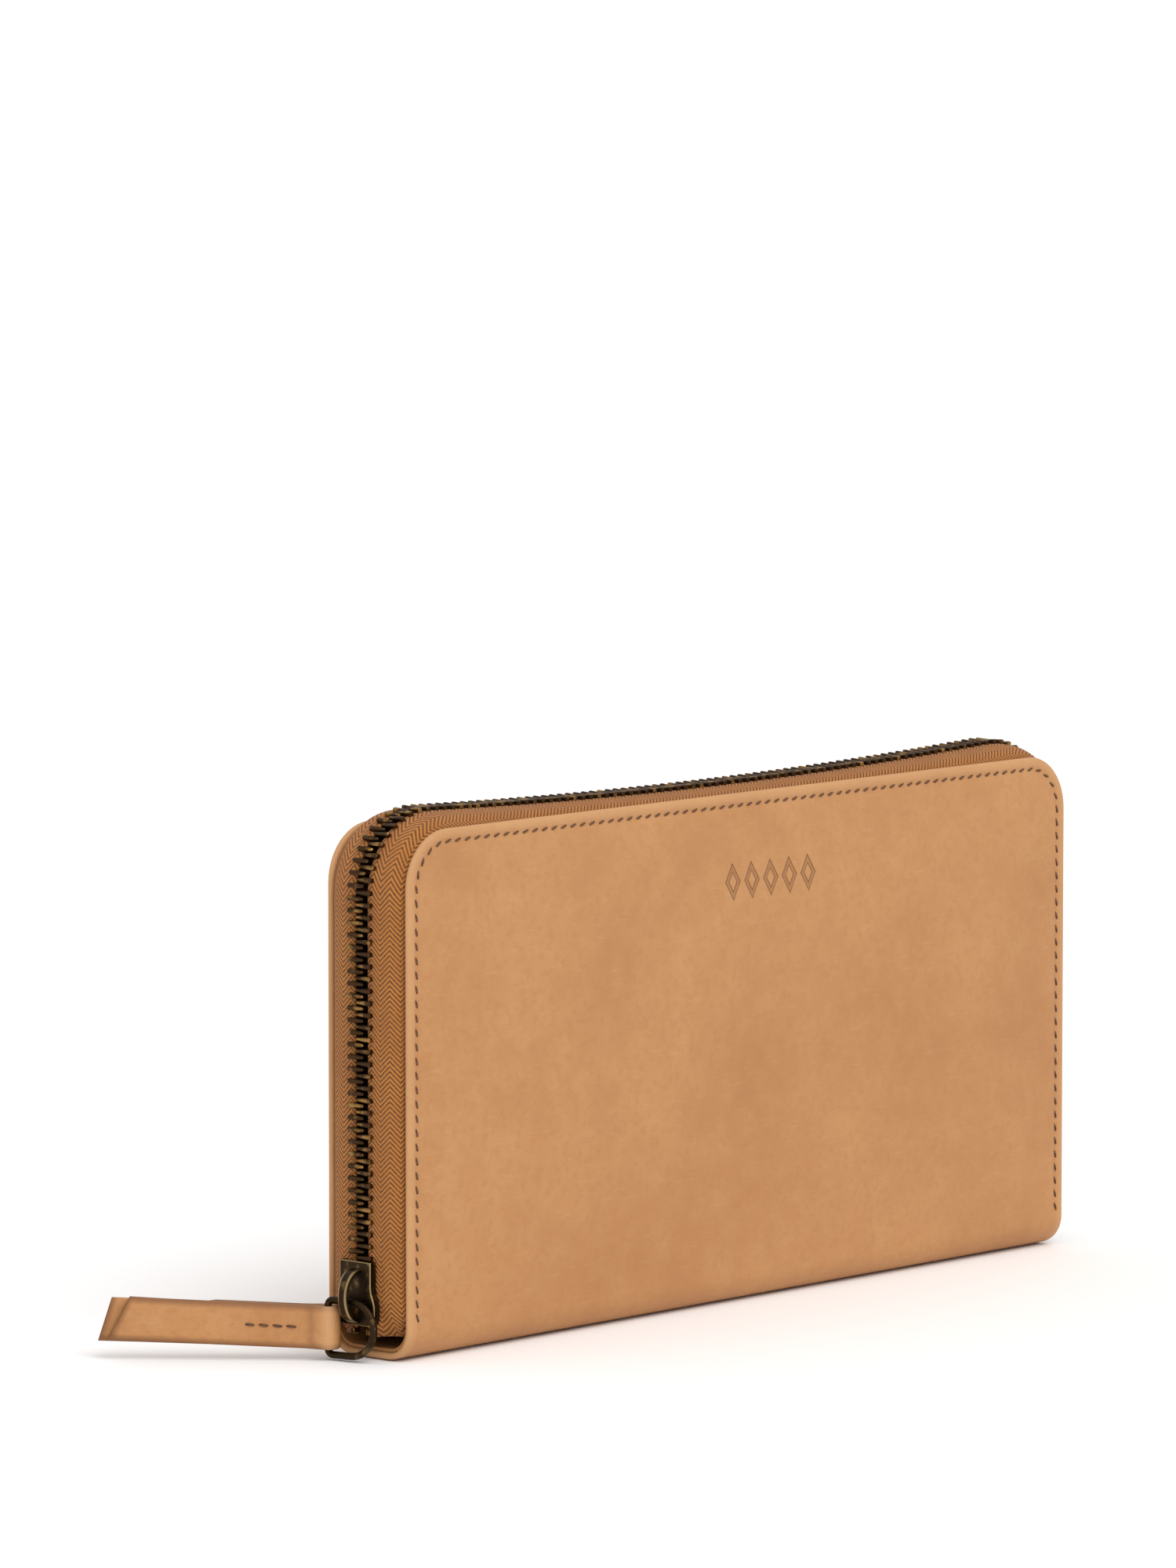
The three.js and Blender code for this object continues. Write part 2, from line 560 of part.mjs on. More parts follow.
function coinPocketPieces() {
  const wall = panelShape(COIN_X, COIN_Z, COIN_TOP_Z, 2);
  const rim = new THREE.Shape();
  const inset = COIN_X - 0.8;
  const rimTop = COIN_TOP_Z - 1;
  const floor = COIN_Z + 0.8;
  const points = [[-COIN_X, rimTop], [-COIN_X, COIN_Z], [COIN_X, COIN_Z], [COIN_X, rimTop]];
  points.push([inset, rimTop], [inset, floor], [-inset, floor], [-inset, rimTop]);
  rim.setFromPoints(points.map(([x, z]) => new THREE.Vector2(x, z)));
  const half = COIN_INNER_Y - GAP / 2;
  const stop = (x) => block(x, x + 1, -1.6, 1.6, COIN_ZIP_Z - 0.4, COIN_ZIP_Z + 0.8);
  return [
    layer("coin_pocket_front_wall", wall, -1, COIN_INNER_Y, COIN_WALL, liningHide),
    layer("coin_pocket_back_wall", wall, 1, COIN_INNER_Y, COIN_WALL, liningHide),
    piece("coin_pocket_edge_strip", plate(rim, -half, half), pleatCloth),
    coinTape(-1, "front"),
    coinTape(1, "back"),
    coinCoil(-1, "front"),
    coinCoil(1, "back"),
    piece("coin_zip_stop_left", stop(-80.5), oldBrass),
    piece("coin_zip_stop_right", stop(COIN_COIL_X1 + GAP), oldBrass),
  ];
}

// Drawn with its middle over the local origin and its zip along X.
function coinSlider() {
  const outline = block(-4, 4, -2.75, 2.75, -1.4, 1.9);
  const room = block(-9, 9, -2.3, 2.3, -0.7, 1.1);
  const slot = block(-9, 9, -9, 9, -0.2, 0.6);
  const post = block(-3.2, -1.6, -0.5, 0.5, -1, 1.4);
  const bridge = new THREE.Shape();
  bridge.moveTo(-3, 1.7);
  bridge.lineTo(3, 1.7);
  bridge.lineTo(2.4, 4.3);
  bridge.lineTo(-2.4, 4.3);
  const eye = new THREE.Path();
  eye.moveTo(-1.7, 2.1);
  eye.lineTo(1.7, 2.1);
  eye.lineTo(1.5, 3.5);
  eye.lineTo(-1.5, 3.5);
  bridge.holes.push(eye);
  const strap = solid(plate(bridge, -0.7, 0.7));
  const body = solid(outline).subtract(solid(room)).subtract(solid(slot)).add(solid(post)).add(strap);
  return piece("coin_slider_body", geometryOf(body), oldBrass);
}

// A flat metal pull: its end bar lies in the slider's eye, at the local origin.
function coinPull() {
  const body = new THREE.Shape();
  body.moveTo(-0.45, -2);
  body.lineTo(14, -1.5);
  body.absarc(14, 0, 1.5, -Math.PI / 2, Math.PI / 2);
  body.lineTo(-0.45, 2);
  const eye = new THREE.Path();
  eye.moveTo(0.45, -1.1);
  eye.lineTo(4.2, -1.1);
  eye.lineTo(4.2, 1.1);
  eye.lineTo(0.45, 1.1);
  body.holes.push(eye);
  const settings = { depth: 0.8, bevelEnabled: false, curveSegments: ARC_STEPS };
  const flat = new THREE.ExtrudeGeometry(body, settings).translate(0, 0, -0.4);
  return piece("coin_slider_pull", flat, oldBrass);
}

// ---------------------------------------------------------------- assembly

function group(...children) {
  const made = new THREE.Group();
  made.add(...children.flat());
  return made;
}

const backHalf = group(coverPieces(1, "back"), spinePieces(), zipTape(1, "back"), chainPieces(1, "back"));
backHalf.add(bottomStop(), ...cardSlots(1, "back"), gusset(-1), gusset(1));

const frontHalf = group(coverPieces(-1, "front"), zipTape(-1, "front"), chainPieces(-1, "front"));
frontHalf.add(...cardSlots(-1, "front"));

const slider = group(piece("zip_slider_body", zipSliderBody(), oldBrass));
slider.position.set(-CHAIN_X, 0, SLIDER_Z);

// The ring hangs by its upper arm in the slider's eye, and the tab is folded round its upright bar.
const tab = group(piece("pull_tab_leather", tabGeometry(), hide));
const STITCH_Y = TAB_HALF + 0.17; // middle of the stitches, just proud of the leather
tab.add(tabStitch("pull_tab_stitching_outer", -STITCH_Y), tabStitch("pull_tab_stitching_inner", STITCH_Y));
tab.rotation.z = TAB_TURN - RING_TURN;
tab.position.x = -RING_ARM;
const ring = group(piece("d_ring", ringGeometry(), oldBrass), tab);
ring.rotation.z = RING_TURN;
ring.position.set(HANG_X + HANG_REACH * Math.cos(RING_TURN), HANG_REACH * Math.sin(RING_TURN), RING_Z);

const coinPullGroup = group(coinPull());
coinPullGroup.position.z = COIN_PULL_Z;
const coinZip = group(coinSlider(), coinPullGroup);
coinZip.position.set(COIN_SLIDER_X, 0, COIN_ZIP_Z);
const coinPocket = group(coinPocketPieces(), coinZip);

const wallet = group(backHalf, frontHalf, slider, ring, coinPocket);

export default wallet;
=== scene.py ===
# %% [markdown]
# # A long zip-around wallet
# The CAD model fixes every size and place. This script loads it as a frame and gives each visible piece its real
# surface: one hide round the covers and spine, a woven zip tape, metal teeth, a slider with its ring and tab, and
# the leather and cloth inside. Everything is in metres, with +Z up and the front cover facing -Y.

# %% Load the frame
import json
import math
from functools import partial

import bmesh
import bpy
from mathutils import Matrix, Vector


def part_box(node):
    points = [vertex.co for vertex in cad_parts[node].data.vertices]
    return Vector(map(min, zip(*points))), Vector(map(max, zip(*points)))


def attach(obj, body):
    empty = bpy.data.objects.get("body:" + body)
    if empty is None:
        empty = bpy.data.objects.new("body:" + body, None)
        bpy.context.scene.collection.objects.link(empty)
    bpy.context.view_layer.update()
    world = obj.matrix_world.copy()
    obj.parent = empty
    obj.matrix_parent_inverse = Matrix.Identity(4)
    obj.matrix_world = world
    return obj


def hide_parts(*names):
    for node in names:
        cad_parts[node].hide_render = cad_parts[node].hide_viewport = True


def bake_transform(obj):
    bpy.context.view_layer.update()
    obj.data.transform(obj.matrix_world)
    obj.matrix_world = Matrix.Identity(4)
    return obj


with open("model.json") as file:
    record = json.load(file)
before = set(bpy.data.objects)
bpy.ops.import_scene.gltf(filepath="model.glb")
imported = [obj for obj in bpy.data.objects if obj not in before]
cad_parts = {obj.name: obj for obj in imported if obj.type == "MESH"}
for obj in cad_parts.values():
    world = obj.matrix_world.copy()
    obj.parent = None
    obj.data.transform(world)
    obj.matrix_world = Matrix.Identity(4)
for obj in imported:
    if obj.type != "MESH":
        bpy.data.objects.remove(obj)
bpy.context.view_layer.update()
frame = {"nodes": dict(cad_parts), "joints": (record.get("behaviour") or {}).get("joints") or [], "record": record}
nodes = frame["nodes"]

MM = 0.001
SIDES = ((-1, "front"), (1, "back"))


def hinge_point(joint):
    return Vector(next(j["pos_m"] for j in frame["joints"] if j["name"] == joint))


cover_low, cover_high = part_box("front_cover_leather")
spine_low, spine_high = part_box("spine_leather")
HALF_LENGTH = spine_high.x
TOP = cover_high.z
FRONT_Y = -cover_low.y  # from the middle plane to a cover's outer face
FOLD = spine_high.z  # radius of the folds, which the covers start from
HIDE = cover_high.y - cover_low.y  # thickness of the leather
CORNER = 11 * MM
SEAM_INSET = 2.4 * MM
print("leather", round(2 * HALF_LENGTH, 4), "x", round(2 * FRONT_Y, 4), "x", round(TOP, 4))

# %% [markdown]
# ## Camera
# The camera looks a little down on the front left corner from far away through a long lens, which keeps the
# wallet's long edges almost parallel. It aims above the wallet, so the wallet stands low in the picture. An angle
# pair and a distance place it, because they are the numbers one sets in a studio.

# %% Camera
AZIMUTH = math.radians(-48.3)
ELEVATION = math.radians(6.05)
DISTANCE = 1.83
LENS = 216  # mm, on a 36 mm sensor along the picture's long side
AIM_RIGHT = 206 / 12000  # where the front face's middle stands, right of the picture's middle, per metre away
AIM_BELOW = 336 / 12000

back = Vector((
    math.sin(AZIMUTH) * math.cos(ELEVATION),
    -math.cos(AZIMUTH) * math.cos(ELEVATION),
    math.sin(ELEVATION),
))
right = Vector((math.cos(AZIMUTH), math.sin(AZIMUTH), 0))
up = back.cross(right)
face_middle = Vector((0, -FRONT_Y, TOP / 2))

camera_data = bpy.data.cameras.new("camera")
camera_data.lens = LENS
camera_data.sensor_width = 36
camera = bpy.data.objects.new("camera", camera_data)
place = face_middle + DISTANCE * (back - AIM_RIGHT * right + AIM_BELOW * up)
axes = Matrix((right, up, back)).transposed().to_4x4()
camera.matrix_world = Matrix.Translation(place) @ axes
bpy.context.scene.collection.objects.link(camera)
bpy.context.scene.camera = camera
print("camera at", tuple(round(v, 3) for v in place))

# %% [markdown]
# ## Floor and light
# A pale floor and a white surround give the even light of a product picture. A broad soft light from above the front
# models the bulge of the cover, and a small one on the left puts glints on the zip.

# %% Floor, lamps and surround
bpy.context.scene.view_settings.view_transform = "Standard"


def add_floor():
    mesh = bpy.data.meshes.new("floor")
    bm = bmesh.new()
    bmesh.ops.create_grid(bm, x_segments=1, y_segments=1, size=60)
    bm.to_mesh(mesh)
    bm.free()
    floor = bpy.data.objects.new("floor", mesh)
    floor.location.z = -0.2 * MM
    bpy.context.scene.collection.objects.link(floor)
    material = bpy.data.materials.new("white_paper")
    material.use_nodes = True
    shader = material.node_tree.nodes["Principled BSDF"]
    shader.inputs["Base Color"].default_value = (0.97, 0.97, 0.97, 1)
    shader.inputs["Roughness"].default_value = 0.9
    mesh.materials.append(material)


def add_lamp(kind, name, place, energy, **settings):
    """A lamp that points at the wallet."""
    light = bpy.data.lights.new(name, kind)
    light.energy = energy
    for key, value in settings.items():
        setattr(light, key, value)
    lamp = bpy.data.objects.new(name, light)
    lamp.location = place
    lamp.rotation_euler = (Vector((0, 0, 0.04)) - Vector(place)).to_track_quat("-Z", "Y").to_euler()
    bpy.context.scene.collection.objects.link(lamp)


def add_surround(strength):
    world = bpy.data.worlds.new("surround")
    bpy.context.scene.world = world
    world.use_nodes = True
    world.node_tree.nodes["Background"].inputs["Color"].default_value = (1, 1, 1, 1)
    world.node_tree.nodes["Background"].inputs["Strength"].default_value = strength


add_floor()
add_lamp("SUN", "overhead", (-0.25, -1, 1.2), 1.3, angle=math.radians(40))
add_lamp("AREA", "side", (-1.1, -0.9, 0.7), 1.5, size=0.5)
add_surround(0.84)

# %% [markdown]
# ## Materials
# Every material is a few procedural textures in the piece's own coordinates, with their sizes worked out from real
# millimetres. One function adds a node with its settings and links and hands back its output. A finish is then two
# lists: the tints that lie over its colour, each as strong as a pattern says, and the heights that make its relief.

# %% Adding nodes
def linear(code):
    """A linear colour from an sRGB one such as "#c89061"."""
    values = [int(code[k : k + 2], 16) / 255 for k in (1, 3, 5)]
    return tuple(v / 12.92 if v <= 0.04045 else ((v + 0.055) / 1.055) ** 2.4 for v in values) + (1,)


def set_inputs(tree, node, inputs):
    """Sets inputs given by name or in order: a link for another node's output, a colour for sRGB text, or a value."""
    for key, value in inputs.items() if isinstance(inputs, dict) else enumerate(inputs):
        if isinstance(value, bpy.types.NodeSocket):
            tree.links.new(value, node.inputs[key])
        else:
            node.inputs[key].default_value = linear(value) if isinstance(value, str) else value


def add_node(tree, kind, inputs, out=0, **settings):
    node = tree.nodes.new("ShaderNode" + kind)
    for key, value in settings.items():
        setattr(node, key, value)
    set_inputs(tree, node, inputs)
    return node.outputs[out]


def new_material(name):
    """A material, a function that adds nodes to it, and the output that gives the place on the piece."""
    material = bpy.data.materials.new(name)
    material.use_nodes = True
    add = partial(add_node, material.node_tree)
    return material, add, add("TexCoord", {}, "Object")


def finish_material(material, inputs):
    tree = material.node_tree
    set_inputs(tree, tree.nodes["Principled BSDF"], inputs)
    return material


def noises(add, coords, *sizes):
    """Noise patterns from pairs of a feature's size in millimetres and the detail in it."""
    return [add("TexNoise", {"Vector": coords, "Scale": 1 / (size * MM), "Detail": detail}) for size, detail in sizes]


def tinted(add, colour, *layers):
    """A colour under tints. A layer is a pattern, the two ends of it that count, the least and most tint, and it."""
    for *pattern_and_ends, tint in layers:
        amount = add("MapRange", pattern_and_ends)
        colour = add("Mix", {0: amount, 6: colour, 7: tint}, 2, data_type="RGBA")
    return colour


def relief(add, *layers):
    """Bumps on bumps, from pairs of a height and its depth in millimetres."""
    below = {}
    for height, depth in layers:
        below = {"Normal": add("Bump", {"Height": height, "Distance": depth * MM, **below})}
    return below["Normal"]


# %% Leather
def lozenge_row(add, coords):
    """1 on the outlines of a short row of small lozenges pressed into the front cover, 0 elsewhere."""
    pitch, half_width, half_height, count = 5.6 * MM, 2.1 * MM, 3.4 * MM, 5
    middle_x, middle_z = 5 * MM, 83 * MM
    moved = add("Mapping", {"Vector": coords, "Location": (-middle_x, 0, -middle_z)})
    x, y, z = add("SeparateXYZ", [moved]).node.outputs
    shifted = add("Math", [x, pitch * 100.5], operation="ADD")
    cell = add("Math", [shifted, pitch / 2], operation="PINGPONG")
    across = add("Math", [cell, -1 / half_width, pitch / 2 / half_width], operation="MULTIPLY_ADD")
    height = add("Math", [z], operation="ABSOLUTE")
    reach = add("Math", [height, 1 / half_height, across], operation="MULTIPLY_ADD")
    from_line = add("Math", [add("Math", [reach, 0.8], operation="SUBTRACT")], operation="ABSOLUTE")
    pressed = add("MapRange", [from_line, 0.17, 0.3, 1, 0])
    within = add("Math", [x, 0, pitch * count / 2], operation="COMPARE")
    front = add("Math", [y, -FRONT_Y / 2], operation="LESS_THAN")
    there = add("Math", [within, front], operation="MULTIPLY")
    return add("Math", [pressed, there], operation="MULTIPLY")


def leather(name, base, dark, pale, roughness=0.6, motif=False):
    """Waxed cowhide: cloudy colour, a fine pebbled grain, short pale scuffs, and edges that are paler where the leather
    is folded over at the rim, partly as a painted highlight along it, and darker where it is cut and given a
    burnishing, with painted shade along a tab's long edges. Through the same two attributes a tab gets a painted
    highlight round its fold at the bar and a band of painted shade where its layers close towards the loop."""
    material, add, coords = new_material(name)
    clouds, spots, pores, grain = noises(add, coords, (34, 4), (6, 5), (1.6, 2), (0.55, 3))
    slanted = add("Mapping", {"Vector": coords, "Rotation": (0, 0.7, 0.2), "Scale": (1 / 9, 1 / 9, 1)})
    (scuffs,) = noises(add, slanted, (0.5, 2))
    dark_edges_and_shade, pale_turns_and_highlight = (add("Attribute", {}, "Fac", attribute_name=a) for a in ("burnish_and_shade", "pale_turn_and_highlight"))
    tints = [
        (clouds, 0.26, 0.68, 1, 0, dark),
        (spots, 0.4, 0.75, 0, 0.2, pale),
        (scuffs, 0.6, 0.8, 0, 0.22, pale),
        (grain, 0.3, 0.5, 0.18, 0, dark),
        (pores, 0.3, 0.52, 0.4, 0, dark),
        # Painted light through two attributes: the first darkens cut edges as burnishing and as painted shade along a
        # tab's long edges and in a band before its fold; the second pales the hide's rim, partly as a painted
        # highlight, and puts a painted highlight round a tab's fold.
        (dark_edges_and_shade, 0, 1, 0, 0.75, "#6f4526"),
        (pale_turns_and_highlight, 0, 1.3, 0, 0.52, pale),
    ]
    heights = [(clouds, 0.25), (pores, 0.1), (grain, 0.045)]
    if motif:
        pressed = lozenge_row(add, coords)
        tints.append((pressed, 0, 1, 0, 0.5, "#85532a"))
        heights.append((pressed, -0.5))
    return finish_material(material, {
        "Base Color": tinted(add, base, *tints),
        "Roughness": add("MapRange", [spots, 0.3, 0.7, roughness - 0.07, roughness + 0.07]),
        "Normal": relief(add, *heights),
        "Specular IOR Level": 0.35,
    })


# %% Woven tape, cloth, thread, board, nylon and brass
def herringbone(name):
    """Golden brown zip tape: ribs that slant one way in one band and the other way in the next.
    It reads texture coordinates in metres along and across the tape."""
    band, pitch = 2.1 * MM, 0.95 * MM
    material, add, coords = new_material(name)
    along, across, _ = add("SeparateXYZ", [coords.node.outputs["UV"]]).node.outputs
    shifted = add("Math", [across, 1.0], operation="ADD")
    zigzag = add("Math", [shifted, band], operation="PINGPONG")
    slanted = add("Math", [along, zigzag], operation="ADD")
    phase = add("Math", [slanted, pitch], operation="DIVIDE")
    rib = add("Math", [phase, 0.5], operation="PINGPONG")
    place = add("Math", [zigzag, band], operation="DIVIDE")
    cords = add("Math", [place, 0.5], operation="PINGPONG")
    fuzz, tone = noises(add, coords, (0.35, 2), (9, 2))
    height = add("Math", [cords, 0.4, rib], operation="MULTIPLY_ADD")
    tints = [
        (rib, 0.06, 0.4, 0, 1, "#c07a30"),
        (fuzz, 0.35, 0.7, 0, 0.35, "#b87634"),
        (tone, 0.4, 0.65, 0, 0.25, "#8a4f1f"),
    ]
    return finish_material(material, {
        "Base Color": tinted(add, "#45210a", *tints),
        "Normal": relief(add, (height, 0.42), (fuzz, 0.05)),
        "Roughness": 0.85,
        "Sheen Weight": 0.04,
    })


def cloth(name, base, dark):
    """Plain woven lining cloth: two crossing sets of fine threads."""
    material, add, coords = new_material(name)
    threads = {"Vector": coords, "Scale": 500.0, "Distortion": 0.6}
    warp, across, weft = (add("TexWave", threads, "Fac", bands_direction=d) for d in "XYZ")
    crossed = add("Math", [warp, across], operation="MULTIPLY")
    weave = add("Math", [crossed, weft], operation="MULTIPLY")
    (tone,) = noises(add, coords, (7, 2))
    return finish_material(material, {
        "Base Color": tinted(add, dark, (weave, 0.1, 0.7, 0, 1, base), (tone, 0.4, 0.7, 0, 0.3, dark)),
        "Normal": relief(add, (weave, 0.06)),
        "Roughness": 0.9,
    })


def thread(name, base, dark):
    """Waxed sewing thread: a fine slanted twist."""
    material, add, coords = new_material(name)
    threads = {"Vector": coords, "Scale": 700.0, "Distortion": 1.0}
    twist = add("TexWave", threads, "Fac", bands_direction="DIAGONAL")
    (tone,) = noises(add, coords, (4, 2))
    return finish_material(material, {
        "Base Color": tinted(add, dark, (twist, 0, 1, 0, 1, base), (tone, 0.4, 0.7, 0, 0.3, dark)),
        "Normal": relief(add, (twist, 0.05)),
        "Roughness": 0.55,
    })


def leather_board(name):
    """Bonded leather board: short pressed fibres."""
    material, add, coords = new_material(name)
    drawn = add("Mapping", {"Vector": coords, "Scale": (1 / 4, 1, 1)})
    (fibres,), (flecks,) = noises(add, drawn, (0.7, 3)), noises(add, coords, (2.2, 2))
    tints = [(fibres, 0.35, 0.65, 0, 1, "#94714d"), (flecks, 0.6, 0.7, 0, 0.5, "#4f3724")]
    return finish_material(material, {
        "Base Color": tinted(add, "#6e4e33", *tints),
        "Normal": relief(add, (fibres, 0.05)),
        "Roughness": 0.9,
    })


def nylon(name):
    """Brown nylon monofilament of the coin pocket's coil zip."""
    material, add, coords = new_material(name)
    (tone,) = noises(add, coords, (5, 2))
    return finish_material(material, {
        "Base Color": tinted(add, "#6d441f", (tone, 0.35, 0.65, 0, 1, "#93642f")),
        "Normal": relief(add, (tone, 0.02)),
        "Roughness": 0.38,
    })


def antique_brass(name, dark, bright, wear_and_highlight):
    """Brass under a dark patina that has worn off in patches and along the edges of the casting. The last argument sets
    how much of it is bright; on the teeth it is raised, so there the bright patches stand partly for painted glints.
    """
    material, add, coords = new_material(name)
    patches, pits = noises(add, coords, (2.6, 4), (0.25, 2))
    edge = add("Attribute", {}, "Fac", attribute_name="worn_edge")
    tints = [
        (patches, 0.62 - wear_and_highlight, 0.78 - wear_and_highlight, 0, 1, bright),
        (pits, 0.6, 0.75, 0, 0.4, dark),
        (edge, 0, 1, 0, 0.6, "#b89c6c"),
    ]
    return finish_material(material, {
        "Base Color": tinted(add, dark, *tints),
        "Normal": relief(add, (pits, 0.015)),
        "Roughness": add("MapRange", [patches, 0.35, 0.7, 0.48, 0.3]),
        "Metallic": 1.0,
    })


HIDE_MATERIAL = leather("tan_cowhide", "#b78352", "#aa7546", "#cb9f71", motif=True)
TAB_MATERIAL = leather("tan_cowhide_strip", "#bc8653", "#a67040", "#d2a577", roughness=0.5)
LINING_MATERIAL = leather("thin_tan_lining_leather", "#ac7946", "#9b6837", "#bd8f5f", roughness=0.66)
TAPE_MATERIAL = herringbone("woven_zip_tape")
CLOTH_MATERIAL = cloth("woven_cotton_lining", "#a8733f", "#7d5026")
SEAM_THREAD_MATERIAL = thread("dark_waxed_thread", "#6e4423", "#472913")
THREAD_MATERIAL = thread("tan_waxed_thread", "#9a6a3c", "#6e4724")
BOARD_MATERIAL = leather_board("bonded_leather_board")
COIL_MATERIAL = nylon("brown_nylon")
# The teeth get more bright patches than the slider: worn patina and, in part, painted glints.
TOOTH_MATERIAL = antique_brass("blackened_brass_teeth", "#46311e", "#96723f", 0.12)
BRASS_MATERIAL = antique_brass("antique_brass", "#35281a", "#74603f", 0.06)
FINISHES = {  # by material slot, with the one that a CAD solid takes first
    "antique_brass": (BRASS_MATERIAL, TOOTH_MATERIAL),
    "board": (BOARD_MATERIAL,),
    "cover_leather": (HIDE_MATERIAL, TAB_MATERIAL),
    "lining_leather": (LINING_MATERIAL,),
    "nylon_coil": (COIL_MATERIAL,),
    "pleat_cloth": (CLOTH_MATERIAL,),
    "thread": (THREAD_MATERIAL, SEAM_THREAD_MATERIAL),
    "zip_tape": (TAPE_MATERIAL,),
}
print("materials", len(bpy.data.materials))

# %% [markdown]
# ## Building helpers
# Most pieces here are swept or repeated: a section carried along a path, or one small solid copied along a line.
# The helpers below do just that and return a finished object, whose vertices are already in the object's frame.

# %% Mesh helpers
TOP_SAG = 1.8 * MM


def new_piece(name, bm, material, body, *replaced, smooth=True):
    """Makes a piece from a bmesh, with its finish, the body that it rides on and the CAD nodes that it stands for."""
    bmesh.ops.remove_doubles(bm, verts=bm.verts, dist=0.002 * MM)
    bmesh.ops.recalc_face_normals(bm, faces=bm.faces)
    mesh = bpy.data.meshes.new(name)
    bm.to_mesh(mesh)
    bm.free()
    mesh.materials.append(material)
    if smooth:
        mesh.shade_smooth()
    piece = bpy.data.objects.new(name, mesh)
    bpy.context.scene.collection.objects.link(piece)
    if body:
        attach(piece, body)
    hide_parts(*replaced)
    return piece


def add_grid(bm, rows):
    """Quads over a grid of points."""
    made = [[bm.verts.new(p) for p in row] for row in rows]
    for lower, upper in zip(made, made[1:]):
        for a, b, c, d in zip(lower, lower[1:], upper[1:], upper):
            if len({tuple(v.co) for v in (a, b, c, d)}) > 2:
                bm.faces.new((a, b, c, d))
    return made


def arc(x, y, radius, first, turn, steps):
    """Points from an angle through a turn, both ends included."""
    angles = [first + turn * k / steps for k in range(steps + 1)]
    return [(x + radius * math.cos(a), y + radius * math.sin(a)) for a in angles]


def lengths(points):
    """The distance walked along a line at each of its points."""
    walked = [0.0]
    for p, q in zip(points, points[1:]):
        walked.append(walked[-1] + math.dist(p, q))
    return walked


def u_path(half, top, radius, low, side_steps=30, arc_steps=10, top_steps=60):
    """Points up the left side, over the top and down the right, as (x, z, outward x, outward z)."""
    reach, shoulder = half - radius, top - radius
    left = [(-half, low + (shoulder - low) * k / side_steps, -1, 0) for k in range(side_steps)]
    for nx, nz in arc(0, 0, 1, math.pi, -math.pi / 2, arc_steps)[:-1]:
        left.append((-reach + radius * nx, shoulder + radius * nz, nx, nz))
    middle = [(-reach + 2 * reach * k / top_steps, top, 0, 1) for k in range(top_steps + 1)]
    return left + middle + [(-x, z, -nx, nz) for x, z, nx, nz in reversed(left)]


def sagged(path, shoulder):
    """The same path with its top hanging down a little in the middle, as a zip does between its corners."""
    half = max(p[0] for p in path)
    return [
        (x, z - (TOP_SAG * max(0, 1 - (x / (0.85 * half)) ** 2) if z > shoulder else 0), nx, nz)
        for x, z, nx, nz in path
    ]


def skin_rings(bm, rings, closed=False):
    """Quads between rings of vertices, from each ring to the next."""
    for lower, upper in zip(rings, rings[1:] + rings[:1] if closed else rings[1:]):
        for k in range(len(lower)):
            n = (k + 1) % len(lower)
            bm.faces.new((lower[k], lower[n], upper[n], upper[k]))


def close_ends(bm, rings):
    """Quads over the two end rings, which run out along one skin of a sheet and back along the other."""
    for ring in (rings[0], rings[-1]):
        for k in range(len(ring) // 2 - 1):
            bm.faces.new((ring[k], ring[k + 1], ring[-2 - k], ring[-1 - k]))


def sweep(frames, section, closed=False):
    """Carries a closed section along frames of (point, first axis, second axis). Returns the bmesh."""
    bm = bmesh.new()
    rings = [[bm.verts.new(p + a * u + b * v) for u, v in section] for p, a, b in frames]
    skin_rings(bm, rings, closed)
    if not closed:
        close_ends(bm, rings)
    return bm


def add_prism(bm, outline, push, bevel):
    """A flat outline of points pushed along a vector, with both its rims bevelled."""
    verts = [bm.verts.new(p) for p in outline]
    grown = bmesh.ops.extrude_face_region(bm, geom=[bm.faces.new(verts)])
    moved = [v for v in grown["geom"] if isinstance(v, bmesh.types.BMVert)]
    bmesh.ops.translate(bm, verts=moved, vec=push)
    members = set(verts + moved)
    rims = [
        e for e in bm.edges
        if e.verts[0] in members and abs((e.verts[0].co - e.verts[1].co).dot(push)) < 1e-9
    ]
    bmesh.ops.bevel(bm, geom=rims, offset=bevel, segments=2, profile=0.5, affect="EDGES", material=-1)


def add_capsule(bm, start, end, radius, lift, sides=6):
    """A short thread or wire from start to end, arched by lift, with closed tapered ends."""
    way = end - start
    side = way.cross(lift).normalized()
    out = lift.normalized()
    rings = []
    for t, grow in ((0, 0.25), (0.14, 0.85), (0.5, 1), (0.86, 0.85), (1, 0.25)):
        centre = start + way * t + lift * (1 - (2 * t - 1) ** 2)
        turn = [2 * math.pi * k / sides for k in range(sides)]
        rings.append([
            bm.verts.new(centre + radius * grow * (math.cos(a) * side + math.sin(a) * out)) for a in turn
        ])
    skin_rings(bm, rings)
    bm.faces.new(rings[0])
    bm.faces.new(rings[-1][::-1])


# %% [markdown]
# ## The hide
# The real wallet is cut from one piece of leather that wraps front, spine and back, so it is one mesh here too. Rings
# that follow the outline, a few tenths of a millimetre apart near the rim, carry the rounded turned edge and the
# slight valley that the seam pulls into the leather. A plain grid fills the rest and bulges gently over what is
# inside.

# %% Shape of the leather's surface
BULGE = 1.7 * MM
INSETS = [e * MM for e in (0, 0.07, 0.22, 0.45, 0.8, 1.2, 1.6, 2, 2.4, 2.8, 3.3, 4, 5, 6.5, 8.5, 11)]
SIDE_STEPS, ARC_STEPS, TOP_STEPS = 40, 12, 84


def ease(t):
    return math.sin(min(max(t, 0), 1) * math.pi / 2)


def half_thickness(inset):
    rim = 0.62 * HIDE
    if inset >= rim:
        return HIDE / 2
    return HIDE / 2 * math.sqrt(max(0, 1 - (1 - inset / rim) ** 2))


